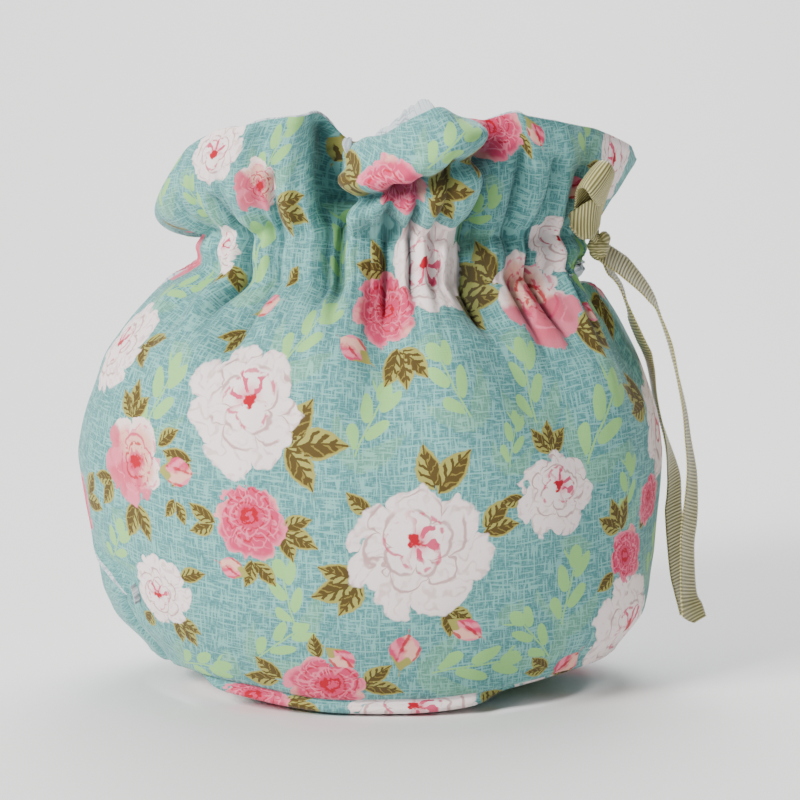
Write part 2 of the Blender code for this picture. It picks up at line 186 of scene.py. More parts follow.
# %% [markdown]
# Folds and gathers
#
# A drawstring squeezes a long edge into a short neck, so the cloth stands up in pleats. Close
# to the string they are small and many, and further off they merge into a few broad folds.
# Each row of `GATHERS` is one family of soft pleats, each row of `PUCKERS` one of the narrow
# furrows that start in the stitches, and each row of `FOLDS` one broad fold. `CREASES` are
# sharp valleys between two folds of the ruffle, and `EAVE` is the line along which the middle
# flap turns over its own gathers.

# %% Tables of folds and gathers
FOLD_COLUMNS = ("top_angle", "top_height", "foot_angle", "foot_height", "spread", "depth")
FOLDS = (
    (-66, 158, -50, 118, 5, -2.6),
    (-56, 158, -36, 100, 7, 2.4),
    (-46, 160, -32, 116, 5, -3.0),
    (-17, 160, -8, 96, 8, 2.8),
    (-11, 192, -12, 132, 3.2, -3.6),
    (1, 150, 1.5, 72, 5, -2.6),
    (14, 150, 13, 66, 9, 2.6),
    (19, 158, 25, 124, 5, -4.2),
    (25, 128, 40, 74, 7, -2.6),
    (34, 158, 40, 118, 5, 2.4),
    (46, 158, 45, 122, 4, -2.6),
    (56, 156, 49, 84, 7, 2.4),
    (72, 150, 66, 96, 6, -2.4),
    (130, 158, 136, 92, 7, -3.0),
    (160, 156, 158, 84, 8, 2.8),
    (186, 158, 184, 100, 6, -3.0),
    (215, 156, 210, 88, 8, 2.6),
    (240, 158, 238, 104, 7, -2.8),
)
GATHER_COLUMNS = ("count", "height", "reach_down", "reach_up", "phase")
GATHERS = (
    (13, 1.9, 46.0, 60.0, 0.6),
    (29, 1.8, 17.0, 22.0, 2.1),
)
PUCKER_COLUMNS = ("count", "depth", "reach_down", "reach_up", "seed")
PUCKERS = (
    (61, 2.6, 16.0, 16.0, 0.3),
    (104, 1.4, 7.0, 8.0, 0.7),
)
CREASE_COLUMNS = ("angle", "height", "depth", "width", "wall")
CREASES = (
    ((-16, -13.5, -11.5, -11, -11), (199, 188, 172, 156, 130), 6.5, 1.7, 1.2),
    ((-29, -30, -31, -33), (180, 160, 146, 112), 3.2, 1.6, 0.5),
    ((-49, -46, -41), (172, 150, 120), 3.4, 1.9, -0.5),
    ((-5, -4, -4), (177, 160, 134), 2.8, 1.2, 0.4),
    ((3, 2.5, 2), (178, 158, 130), 3.4, 1.2, -0.5),
    ((10, 9, 9.5), (180, 160, 132), 3.0, 1.3, 0.5),
    ((17, 15, 15), (184, 162, 132), 3.0, 1.2, -0.4),
    ((29, 26, 24, 25), (193, 172, 156, 120), 5.2, 2.2, -1.0),
    ((39, 37, 36, 39), (186, 165, 150, 118), 3.8, 1.8, 0.6),
    ((51, 48, 46, 47), (187, 166, 150, 114), 3.2, 1.9, -0.6),
    ((62, 59, 57, 54), (184, 164, 150, 110), 2.6, 1.9, 0.6),
)
EAVE = {"angle": (-13, -8, 6, 16, 27, 34), "height": (178, 176, 178, 182.5, 188, 194)}
EAVE_SWELL = 3.0
EAVE_UNDERCUT = 5.4
pleats = sum(row[0] for row in GATHERS + PUCKERS)
print(len(FOLDS), "broad folds,", len(CREASES), "creases,", pleats, "pleats")

# %% [markdown]
# The cloth's plain shape
#
# Before any folding, the cosy is a set of ovals stacked up to the neck, and above it the
# ruffle is a curve drawn from the neck to the rim: a quadratic Bezier, whose middle handle
# says how far the ruffle swells. Tables are read with their corners rounded over, so the
# shape stays soft between the rows.

# %% The plain shape of body and ruffle
def read(table, key, column, where, softness):
    keys = np.array(table[key], float)
    values = np.array(table[column], float)
    offsets = np.linspace(-softness, softness, 7)
    return sum(np.interp(where + offset, keys, values) for offset in offsets) / len(offsets)


def wrap(angle):
    return (angle + 95.0) % 360.0 - 95.0


def base_lift(angle):
    reach = np.abs(np.sin(np.radians(angle)))
    return BASE_LIFT * smooth((reach - 0.12) / 0.78)


def plan_point(angle, height):
    names = ("left", "right", "front", "back")
    left, right, front, back = (read(BODY, "height", name, height, PLAN_SOFTNESS) for name in names)
    sine = np.sin(np.radians(angle))
    cosine = np.cos(np.radians(angle))
    x = (right + left) / 2 * sine + (right - left) / 2 * sine ** 2
    y = -(front + back) / 2 * cosine - (front - back) / 2 * cosine ** 2
    turned_up = base_lift(angle) * (1.0 - smooth((height - SEAM) / LIFT_FADE))
    drop = CASING_DROP * np.abs(cosine) * smooth((height - CASING_DROP_FROM) / 50.0)
    drop = drop * (1.0 - smooth((height - LOWER_GATHER) / (UPPER_GATHER - LOWER_GATHER)))
    return np.stack([x, y, height + turned_up - drop], axis=-1)


def ruffle_point(angle, share):
    foot = plan_point(angle, np.full_like(angle, UPPER_GATHER))
    place = wrap(angle)
    names = ("x", "y", "z", "swell", "lift")
    x, y, z, swell, lift = (read(RIM_LINE, "angle", name, place, RIM_SOFTNESS) for name in names)
    rim = np.stack([x, y, z], axis=-1)
    outward = np.stack([np.sin(np.radians(angle)), -np.cos(np.radians(angle)), 0 * angle], axis=-1)
    middle = foot + outward * swell[..., None]
    middle[..., 2] += lift
    share = share[..., None]
    return foot * (1 - share) ** 2 + middle * 2 * share * (1 - share) + rim * share ** 2


def bare_point(angle, height):
    body = plan_point(angle, np.minimum(height, UPPER_GATHER))
    share = np.clip((height - UPPER_GATHER) / (RIM - UPPER_GATHER), 0.0, 1.5)
    return np.where((height > UPPER_GATHER)[..., None], ruffle_point(angle, share), body)

# %% [markdown]
# Pressing the folds in
#
# All folds are heights above or below the plain shape. They are added together and the cloth
# is moved along its own facing by the sum. The gathers are drawn unevenly round the neck, as
# fingers push them, by bending the angle before the sine is taken.

# %% The folded cloth
def gather_relief(angle, height):
    turn = np.radians(angle)
    uneven = 0.22 * np.sin(2 * turn + 1.0) + 0.12 * np.sin(5 * turn + 2.0)
    strength = 0.5 + 0.5 * smooth((wrap(angle) + 22.0) / 30.0)
    below = np.maximum(LOWER_GATHER - height, 0.0)
    above = np.maximum(height - UPPER_GATHER, 0.0)
    relief = 0.0 * angle
    for values in GATHERS:
        row = dict(zip(GATHER_COLUMNS, values))
        fade = np.exp(-below / row["reach_down"] - above / row["reach_up"])
        relief = relief + row["height"] * fade * np.sin(row["count"] * (turn + uneven) + row["phase"])
    return relief * strength


def fold_relief(angle, height):
    place = wrap(angle)
    relief = 0.0 * place
    for values in FOLDS:
        row = dict(zip(FOLD_COLUMNS, values))
        length = row["top_height"] - row["foot_height"]
        along = (row["top_height"] - height) / length
        middle = row["top_angle"] + (row["foot_angle"] - row["top_angle"]) * np.clip(along, 0.0, 1.0)
        spread = row["spread"] * (1.0 + 0.5 * np.clip(along, 0.0, 1.0))
        window = smooth((along + 0.02) * length / 10.0) * smooth((1.0 - along) * 2.2)
        relief = relief + row["depth"] * window * np.exp(-((place - middle) / spread) ** 2)
    return relief


def chance(number, seed):
    """A number between 0 and 1 that jumps about, and is the same each time."""
    return np.abs(np.sin(number * 12.9898 + seed * 78.233) * 43.758) % 1.0


def pucker_relief(angle, height):
    """Narrow furrows that run out of the stitches, each as deep and as long as chance makes it."""
    turn = np.radians(angle)
    uneven = 0.10 * np.sin(3 * turn + 0.4) + 0.05 * np.sin(7 * turn)
    below = np.maximum(LOWER_GATHER - height, 0.0)
    above = np.maximum(height - UPPER_GATHER, 0.0)
    relief = 0.0 * angle
    for values in PUCKERS:
        row = dict(zip(PUCKER_COLUMNS, values))
        place = row["count"] * (turn + uneven) / (2 * math.pi) + row["seed"]
        number = np.round(place)
        which = number % row["count"]
        reach = 0.35 + 1.3 * chance(which, row["seed"])
        fade = np.exp(-(below / row["reach_down"] + above / row["reach_up"]) / reach)
        off = (place - number + 0.16 * (chance(which, 5.1) - 0.5)) / (0.17 + 0.10 * (1.0 - fade))
        depth = row["depth"] * (0.35 + 0.65 * chance(which, 2.6))
        relief = relief - depth * fade * np.exp(-off ** 2)
    return relief * (0.7 + 0.3 * smooth((wrap(angle) + 20.0) / 30.0))


def crease_relief(angle, height):
    """Sharp valleys: the cloth falls in steeply on one side and slopes out on the other."""
    place = wrap(angle)
    relief = 0.0 * place
    for values in CREASES:
        row = dict(zip(CREASE_COLUMNS, values))
        levels = np.array(row["height"], float)
        order = np.argsort(levels)
        line = np.interp(height, levels[order], np.array(row["angle"], float)[order])
        low, high = min(row["height"]), max(row["height"])
        window = smooth((height - low) / 24.0) * smooth((high + 4.0 - height) / 8.0)
        off = (place - line) / row["width"]
        valley = np.exp(-np.abs(off) ** 1.3)
        wall = row["wall"] * 0.35 * off * np.exp(-off ** 2 / 6.0)
        relief = relief - row["depth"] * window * (valley - wall)
    return relief


def eave_relief(angle, height):
    """The middle flap swells above its eave line and is tucked in under it."""
    place = wrap(angle)
    line = np.interp(place, EAVE["angle"], EAVE["height"])
    window = smooth((place + 14.5) / 4.0) * smooth((36.0 - place) / 12.0)
    above = (height - line) / 5.0
    swell = EAVE_SWELL * np.exp(-(above - 0.8) ** 2)
    undercut = EAVE_UNDERCUT * np.exp(-((height - line + 5.0) / 4.5) ** 2)
    return window * (swell - undercut)


def casing_relief(height):
    middle = (LOWER_GATHER + UPPER_GATHER) / 2
    half = (UPPER_GATHER - LOWER_GATHER) / 2
    off_middle = np.abs(height - middle)
    puff = smooth(1.0 - off_middle / half)
    pinch = smooth(1.0 - off_middle / CASING_PINCH_REACH)
    return CASING_PUFF * (1.5 * puff - pinch)


def slack_relief(angle, height):
    """Soft hollows of cloth that isn't quite filled out, 1 mm at most."""
    turn = np.radians(angle)
    relief = np.empty(angle.size)
    places = np.stack([2.3 * np.sin(turn), 2.3 * np.cos(turn), height / 38.0], axis=-1).reshape(-1, 3)
    for number, place in enumerate(places):
        relief[number] = noise.noise(Vector(place)) + 0.45 * noise.noise(Vector(place * 2.7))
    return 1.1 * relief.reshape(angle.shape)


def sharp_relief(angle, height):
    """The narrow furrows, the creases and the eave together."""
    return pucker_relief(angle, height) + crease_relief(angle, height) + eave_relief(angle, height)


def furrow_shade_amount(angle, height):
    """How deep each point lies in a furrow, from 0 to 1, as the amount of shade painted into the cloth's
    colour there.
    """
    return smooth((-sharp_relief(angle, height) - 0.3) / 5.0)


def folded_grid(angle, height, extra=0.0):
    """Points of the cloth's outer face, and the way it faces at each."""
    nudge = 0.4
    across = bare_point(angle + nudge, height) - bare_point(angle - nudge, height)
    up = bare_point(angle, height + nudge) - bare_point(angle, height - nudge)
    relief = gather_relief(angle, height) + fold_relief(angle, height) + casing_relief(height)
    relief = relief + sharp_relief(angle, height) + slack_relief(angle, height) + extra
    points = bare_point(angle, height) + unit(np.cross(across, up)) * relief[..., None]
    facing = unit(np.cross(np.gradient(points, axis=1), np.gradient(points, axis=0)))
    return points, facing

# %% [markdown]
# Flat cloth coordinates
#
# A print is made on flat cloth, before any sewing. So each point of the folded cloth is given
# its place on the flat cloth in millimetres: how far across from the middle of the front, and
# how far up from the lower gather. Above the widest part the cloth keeps its width and the
# surplus goes into gathers, while below it the panel is cut narrower.

# %% Find each point's place on the flat cloth
WIDEST = 80.0
AVERAGED_COLUMNS = 15


def row_length(height, angles):
    points = bare_point(angles, np.full_like(angles, height))
    steps = np.linalg.norm(np.diff(points, axis=0), axis=1)
    return np.concatenate([[0.0], np.cumsum(steps)])


TURN = np.linspace(-95.0, 265.0, 721)
WIDEST_ROW = row_length(WIDEST, TURN)
WIDEST_ROW = WIDEST_ROW - np.interp(0.0, TURN, WIDEST_ROW)
LEVELS = np.linspace(SEAM, WIDEST, 12)
ROW_SHARES = np.array([row_length(level, TURN)[-1] for level in LEVELS])
ROW_SHARES = ROW_SHARES / ROW_SHARES[-1]


def flat_places(angle, height, points):
    """Across and up on the flat cloth, for a grid of rows upwards and columns across."""
    across = np.interp(angle, TURN, WIDEST_ROW) * np.interp(height, LEVELS, ROW_SHARES)
    steps = np.linalg.norm(np.diff(points, axis=0), axis=-1)
    up = np.concatenate([np.zeros((1, points.shape[1])), np.cumsum(steps, axis=0)])
    level = np.array([np.interp(LOWER_GATHER, height[:, i], up[:, i]) for i in range(up.shape[1])])
    up = up - level
    window = np.ones(AVERAGED_COLUMNS) / AVERAGED_COLUMNS
    padded = np.pad(up, ((0, 0), (AVERAGED_COLUMNS // 2,) * 2), mode="edge")
    up = np.stack([np.convolve(row, window, mode="valid") for row in padded])
    return np.stack([across, up], axis=-1)


def panel_grid(sides, columns, heights):
    """Angles and heights of a panel's points, kept between its two side edges."""
    across = np.linspace(0.0, 1.0, columns + 1)
    level, share = np.meshgrid(np.array(heights, float), across, indexing="ij")
    low = read(EDGES, "height", sides[0][0], level, EDGE_SOFTNESS) + sides[0][1]
    high = read(EDGES, "height", sides[1][0], level, EDGE_SOFTNESS) + sides[1][1]
    low_mean, high_mean = low[-1, 0], high[-1, 0]
    even = low_mean + (high_mean - low_mean) * share
    pull_low = (low - low_mean) * (1.0 - smooth((even - low_mean) / EDGE_REACH))
    pull_high = (high - high_mean) * (1.0 - smooth((high_mean - even) / EDGE_REACH))
    return even + pull_low + pull_high, level

# %% [markdown]
# The print's layout
#
# The cloth is printed with loose bunches: white peonies, pink roses and two-tone roses with
# buds, dark olive leaves and pale green sprays. Each row places one motif on the flat cloth by
# its middle, in millimetres across and up, with its radius or half length and its turn in
# degrees. Leaves grow in small fans, so a row gives a whole fan.

# %% Tables of the print
FLOWER_COLUMNS = ("kind", "across", "up", "radius", "turn")
KINDS = {"peony": 1, "rose": 2, "blush": 3, "bud": 4}
FLOWERS_UNDER = (
    ("peony", -46, -46, 21.5, 10),
    ("peony", 13, -90, 22.5, 75),
    ("peony", 25, 5, 18, 130),
    ("peony", 59, -74, 14.5, 40),
    ("peony", -77, -113, 13.5, 200),
    ("peony", 93, -126, 21, 300),
    ("peony", -117, -37, 17, 160),
    ("peony", -84, 50, 15.5, 250),
    ("peony", -92, 7, 9.5, 30),
    ("peony", 91, 9, 11, 80),
    ("blush", 71, -9, 18.5, 20),
    ("peony", 128, -64, 19, 220),
    ("peony", -132, 52, 14, 15),
    ("peony", 129, 44, 15, 95),
    ("peony", -128, -142, 17, 310),
    ("bud", -50, -10, 7, 12),
    ("bud", 27, -116, 6.5, -35),
    ("bud", 94, -16, 5.5, -50),
)
FLOWERS_OVER = (
    ("rose", -41, -82, 12.5, 60),
    ("rose", 3, -9, 13.5, 20),
    ("rose", 93, -99, 10.5, 150),
    ("rose", -17, -139, 13.5, 0),
    ("blush", -89, -71, 15, -20),
    ("blush", -60, 33, 11, -35),
    ("rose", 7, 39, 12.5, 200),
    ("rose", 57, 51, 12, 110),
    ("rose", 134, -12, 13, 45),
    ("rose", 110, -84, 9, 70),
    ("rose", -131, -98, 13, 260),
    ("blush", -139, 2, 14, 100),
    ("bud", -68, -70, 7, 8),
    ("bud", 66, -139, 8, 60),
    ("bud", -12, -126, 6, -40),
    ("bud", -8, -25, 6.5, 150),
    ("bud", 75, 51, 6, -70),
    ("bud", 8, -124, 7.5, 80),
    ("bud", -47, -98, 5.5, 165),
    ("bud", 101, 27, 6, 20),
    ("bud", 142, -100, 7, 200),
)
FAN_COLUMNS = ("across", "up", "length", "turn", "spread", "count")
LEAF_FANS = (
    (-29, -56, 15, 5, 120, 3),
    (-62, -66, 10, 205, 60, 2),
    (-31, -83, 10, -20, 90, 3),
    (-53, -84, 9, 180, 50, 2),
    (-40, -94, 9, -75, 60, 2),
    (18, -70, 14, 80, 55, 2),
    (33, -83, 11, 30, 40, 2),
    (-2, -77, 8, 140, 30, 1),
    (-5, -98, 13, 205, 75, 3),
    (22, -108, 9, -60, 50, 2),
    (38, -1, 15, -40, 50, 2),
    (8, -23, 12, -80, 60, 3),
    (3, 4, 11, 150, 50, 2),
    (58, -61, 9, 90, 80, 3),
    (47, -74, 7, 185, 20, 1),
    (-68, -105, 8, 20, 30, 1),
    (-70, -121, 10, -50, 60, 3),
    (-83, -124, 8, -110, 30, 1),
    (-99, -80, 10, 215, 50, 2),
    (-86, -84, 12, -85, 50, 2),
    (-92, -58, 10, 95, 80, 3),
    (-77, -63, 8, 40, 30, 1),
    (-68, -79, 7, -90, 60, 2),
    (54, -3, 14, 150, 70, 3),
    (84, -20, 13, -35, 60, 3),
    (88, -90, 10, 115, 80, 3),
    (84, -104, 8, 215, 40, 1),
    (102, -92, 9, 45, 40, 1),
    (-31, -138, 11, 165, 50, 2),
    (-5, -137, 11, 15, 60, 2),
    (-19, -127, 8, 100, 40, 1),
    (58, -137, 8, 165, 40, 2),
    (-50, 27, 13, -25, 70, 3),
    (20, 37, 13, 0, 90, 3),
    (-5, 38, 13, 185, 50, 2),
    (-24, 40, 12, 70, 20, 1),
    (66, 50, 9, -60, 40, 1),
    (46, 46, 9, 205, 40, 2),
    (-57, -18, 9, 240, 40, 2),
    (-45, -3, 7, 60, 30, 1),
    (-102, -33, 11, -10, 60, 2),
    (-86, 3, 8, -70, 60, 2),
    (112, -52, 13, 150, 70, 3),
    (144, -74, 12, -20, 60, 2),
    (124, -20, 11, 200, 60, 2),
    (145, -5, 11, 40, 60, 2),
    (-119, -92, 11, 30, 60, 2),
    (-128, 12, 11, 60, 60, 2),
    (118, 36, 11, 210, 50, 2),
    (-136, -84, 10, 120, 40, 2),
)
SPRAY_COLUMNS = ("across", "up", "length", "turn")
SPRAYS = (
    (-80, -48, 15, 75),
    (-26, -20, 14, 60),
    (-67, 6, 13, 85),
    (-2, -47, 13, 70),
    (24, -36, 13, 120),
    (54, -37, 14, 95),
    (82, -52, 17, 60),
    (44, -55, 9, 80),
    (-29, -105, 12, 110),
    (-31, -122, 12, 50),
    (31, -131, 15, 10),
    (50, -122, 12, 130),
    (64, -106, 14, 80),
    (92, -76, 11, 95),
    (-51, 48, 14, 75),
    (28, 53, 11, 30),
    (101, 52, 13, 100),
    (-117, 38, 11, 80),
    (-97, 28, 11, 115),
    (-100, -104, 12, 70),
    (120, -104, 13, 60),
    (-62, -140, 13, 20),
    (112, -8, 12, 100),
    (-143, -62, 13, 90),
    (-20, 12, 11, 95),
    (47, 22, 11, 60),
    (-112, -10, 11, 60),
    (121, 8, 11, 70),
)
PRINT_REPEAT = 290.0
print(len(FLOWERS_UNDER + FLOWERS_OVER), "flowers,", len(LEAF_FANS), "fans,", len(SPRAYS), "sprays")

# %% [markdown]
# Stamping the print on the cloth
#
# A printed flower could be an image, but then its edges blur up close and its look can't be
# changed by a number. Here each face of the mesh is told which motif it lies in, and each of
# its corners gets its place inside that motif, as on a rubber stamp. The material then draws
# the petals from those places, as sharp as the render needs.

# %% Give every face its stamp
STAMP_MARGIN = 1.3
NO_STAMP = (9.0, 9.0, 0.0)


def flower_stamps(rows):
    stamps = []
    for number, values in enumerate(rows):
        row = dict(zip(FLOWER_COLUMNS, values))
        seed = 0.1 + 0.8 * ((number * 0.618) % 1.0)
        tag = KINDS[row["kind"]] + seed
        stamps.append((row["across"], row["up"], row["radius"], row["turn"], tag))
    return stamps


def leaf_stamps():
    stamps = []
    for number, values in enumerate(LEAF_FANS):
        fan = dict(zip(FAN_COLUMNS, values))
        for leaf in range(fan["count"]):
            share = leaf / (fan["count"] - 1) - 0.5 if fan["count"] > 1 else 0.0
            turn = fan["turn"] + fan["spread"] * share
            half = fan["length"] * (0.62 - 0.12 * abs(share) + 0.05 * ((number + leaf) % 2))
            across = fan["across"] + half * math.cos(math.radians(turn))
            up = fan["up"] + half * math.sin(math.radians(turn))
            stamps.append((across, up, half, turn, 1.1 + 0.8 * ((number * 0.37 + leaf * 0.21) % 1.0)))
    return stamps


def spray_stamps():
    stamps = []
    for number, values in enumerate(SPRAYS):
        row = dict(zip(SPRAY_COLUMNS, values))
        tag = 1.1 + 0.8 * ((number * 0.43) % 1.0)
        stamps.append((row["across"], row["up"], row["length"], row["turn"], tag))
    return stamps


def stamp_faces(mesh, name, flat, stamps, narrow=1.0):
    """Write each corner's place in the nearest stamp; narrow is how slim the stamps are."""
    count = len(mesh.polygons)
    corners = np.empty(len(mesh.loops), np.int32)
    mesh.loops.foreach_get("vertex_index", corners)
    places = flat[corners].reshape(count, -1, 2)
    middles = places.mean(axis=1)
    nearest = np.full(count, STAMP_MARGIN)
    values = np.tile(np.array(NO_STAMP), (count, places.shape[1], 1))
    for across, up, size, turn, tag in stamps:
        cosine, sine = math.cos(math.radians(turn)), math.sin(math.radians(turn))
        shift = middles - (across, up)
        along = (shift[:, 0] * cosine + shift[:, 1] * sine) / size
        aside = (shift[:, 1] * cosine - shift[:, 0] * sine) / size
        distance = np.hypot(along, aside / narrow)
        mine = distance < nearest
        nearest[mine] = distance[mine]
        shift = places[mine] - (across, up)
        values[mine, :, 0] = (shift[..., 0] * cosine + shift[..., 1] * sine) / size
        values[mine, :, 1] = (shift[..., 1] * cosine - shift[..., 0] * sine) / size
        values[mine, :, 2] = tag
    attribute = mesh.attributes.new(name, "FLOAT_VECTOR", "CORNER")
    attribute.data.foreach_set("vector", values.astype(np.float32).ravel())


def stamp_print(obj, flat):
    stamp_faces(obj.data, "spray", flat, spray_stamps(), narrow=0.7)
    stamp_faces(obj.data, "leaf", flat, leaf_stamps(), narrow=0.6)
    stamp_faces(obj.data, "flower_under", flat, flower_stamps(FLOWERS_UNDER))
    stamp_faces(obj.data, "flower_over", flat, flower_stamps(FLOWERS_OVER))


print(len(leaf_stamps()), "leaves stamped")

# %% [markdown]
# Sums in a material
#
# A drawn petal is arithmetic: a radius, an angle, a wave. In Blender each sum is a Math node,
# and a hundred of them are hard to wire by hand. `Wire` lets a sum be written as a sum, and
# puts the nodes in for it.

# %% Helpers for node arithmetic
class Wire:
    """A number running through a material's nodes."""
    def __init__(self, tree, socket):
        self.tree = tree
        self.socket = socket

    def do(self, operation, *others):
        node = self.tree.nodes.new("ShaderNodeMath")
        node.operation = operation
        for entry, value in zip(node.inputs, (self,) + others):
            if isinstance(value, Wire):
                self.tree.links.new(value.socket, entry)
            else:
                entry.default_value = value
        return Wire(self.tree, node.outputs[0])

    def __add__(self, other):
        return self.do("ADD", other)

    def __sub__(self, other):
        return self.do("SUBTRACT", other)

    def __mul__(self, other):
        return self.do("MULTIPLY", other)

    def __truediv__(self, other):
        return self.do("DIVIDE", other)

    def wave(self):
        return self.do("SINE")

    def size(self):
        return self.do("ABSOLUTE")

    def rest(self):
        return self.do("FRACT")

    def flip(self):
        return self * -1.0 + 1.0

    def step(self, low, high):
        """0 up to low and 1 from high, with a soft slope between; low may be the larger."""
        node = self.tree.nodes.new("ShaderNodeMapRange")
        node.interpolation_type = "SMOOTHSTEP"
        for name, value in (("Value", self), ("From Min", low), ("From Max", high)):
            if isinstance(value, Wire):
                self.tree.links.new(value.socket, node.inputs[name])
            else:
                node.inputs[name].default_value = value
        return Wire(self.tree, node.outputs["Result"])


def paint(tree, ground, colour, mask):
    """The ground's colour with another laid over it where the mask is 1."""
    node = tree.nodes.new("ShaderNodeMix")
    node.data_type = "RGBA"
    for name, value in (("Factor", mask), ("A", ground), ("B", colour)):
        entry = node.inputs[name]
        if isinstance(value, Wire):
            tree.links.new(value.socket, entry)
        elif isinstance(value, bpy.types.NodeSocket):
            tree.links.new(value, entry)
        elif isinstance(value, tuple):
            entry.default_value = (*value, 1.0)
        else:
            entry.default_value = value
    return [output for output in node.outputs if output.type == "RGBA"][0]


def paint_shade(tree, ground, shade, amount):
    """The ground's colour multiplied by a shade colour, as far as the amount says: painted shade."""
    node = tree.nodes.new("ShaderNodeMix")
    node.data_type = "RGBA"
    node.blend_type = "MULTIPLY"
    tree.links.new(amount.socket, node.inputs["Factor"])
    tree.links.new(ground, [entry for entry in node.inputs if entry.type == "RGBA"][0])
    [entry for entry in node.inputs if entry.type == "RGBA"][1].default_value = (*shade, 1.0)
    return [output for output in node.outputs if output.type == "RGBA"][0]


def mottle(tree, vector, scale, detail=2.0):
    """A soft random number from 0 to 1 that changes over the cloth."""
    node = tree.nodes.new("ShaderNodeTexNoise")
    node.inputs["Scale"].default_value = scale
    node.inputs["Detail"].default_value = detail
    tree.links.new(vector, node.inputs["Vector"])
    return Wire(tree, node.outputs["Fac"])


def stretch(tree, vector, across, up):
    node = tree.nodes.new("ShaderNodeVectorMath")
    node.operation = "MULTIPLY"
    node.inputs[1].default_value = (across, up, 1.0)
    tree.links.new(vector, node.inputs[0])
    return node.outputs[0]

# %% [markdown]
# Drawing the flowers
#
# Each motif is drawn in its own round coordinates: how far out from its middle, and at what
# turn. A scalloped edge is a radius that dips between petals, so rings of scallops, each
# smaller than the one before, are a peony. Colours are written as they look on a screen, from
# 0 to 255, and turned into the light values that a renderer adds up.

# %% Paint the motifs
def tone(red, green, blue):
    """A screen colour as linear light; the last shades before black run straight."""
    return tuple(((value / 255 + 0.055) / 1.055) ** 2.4 if value > 10 else value / 3294.6
                 for value in (red, green, blue))


PETAL = tone(242, 228, 226)
PETAL_SHADE = tone(222, 204, 203)
PETAL_LINE = tone(186, 148, 146)
PEACH = tone(232, 176, 158)
PINK = tone(204, 62, 100)
PINK_PALE = tone(230, 126, 148)
RED = tone(176, 6, 36)
OLIVE_PALE = tone(154, 150, 78)
OLIVE = tone(128, 114, 52)
OLIVE_DARK = tone(82, 66, 28)
SPRAY_GREEN = tone(146, 200, 118)
LEAFLETS = 1.3
LEAFLET_LEAN = 0.9
LEAFLET_LENGTH = 0.29
LEAFLET_WIDTH = 0.20


def motif(tree, name):
    node = tree.nodes.new("ShaderNodeAttribute")
    node.attribute_name = name
    parts = tree.nodes.new("ShaderNodeSeparateXYZ")
    tree.links.new(node.outputs["Vector"], parts.inputs[0])
    along, aside, tag = (Wire(tree, output) for output in parts.outputs)
    return along, aside, tag, node.outputs["Vector"]


def round_places(along, aside, across, up):
    """Distance and turn round a middle that may be off the stamp's own."""
    x = along - across
    y = aside - up
    return (x * x + y * y).do("SQRT"), y.do("ARCTAN2", x)


def scallop(radius, turn, count, place, depth):
    """How far inside a scalloped ring: above 0 inside and below 0 outside."""
    dip = (turn * (count / 2.0)).wave().size().do("POWER", 0.6)
    return dip * (place * depth) + (place * (1.0 - depth)) - radius


def ring(tree, ground, inside, colour, line, edge=0.03):
    """Fill a ring's inside and draw its edge as a thin line."""
    ground = paint(tree, ground, colour, inside.step(-edge * 0.5, edge * 0.5))
    return paint(tree, ground, line, inside.size().step(edge * 1.5, edge * 0.4) * 0.75)


def strokes_round(turn, hand, count, from_, to):
    """Thin brush strokes that fan out from a middle, uneven in the hand's wobble."""
    return ((turn * count).wave() + hand * 3.0).step(from_, to)


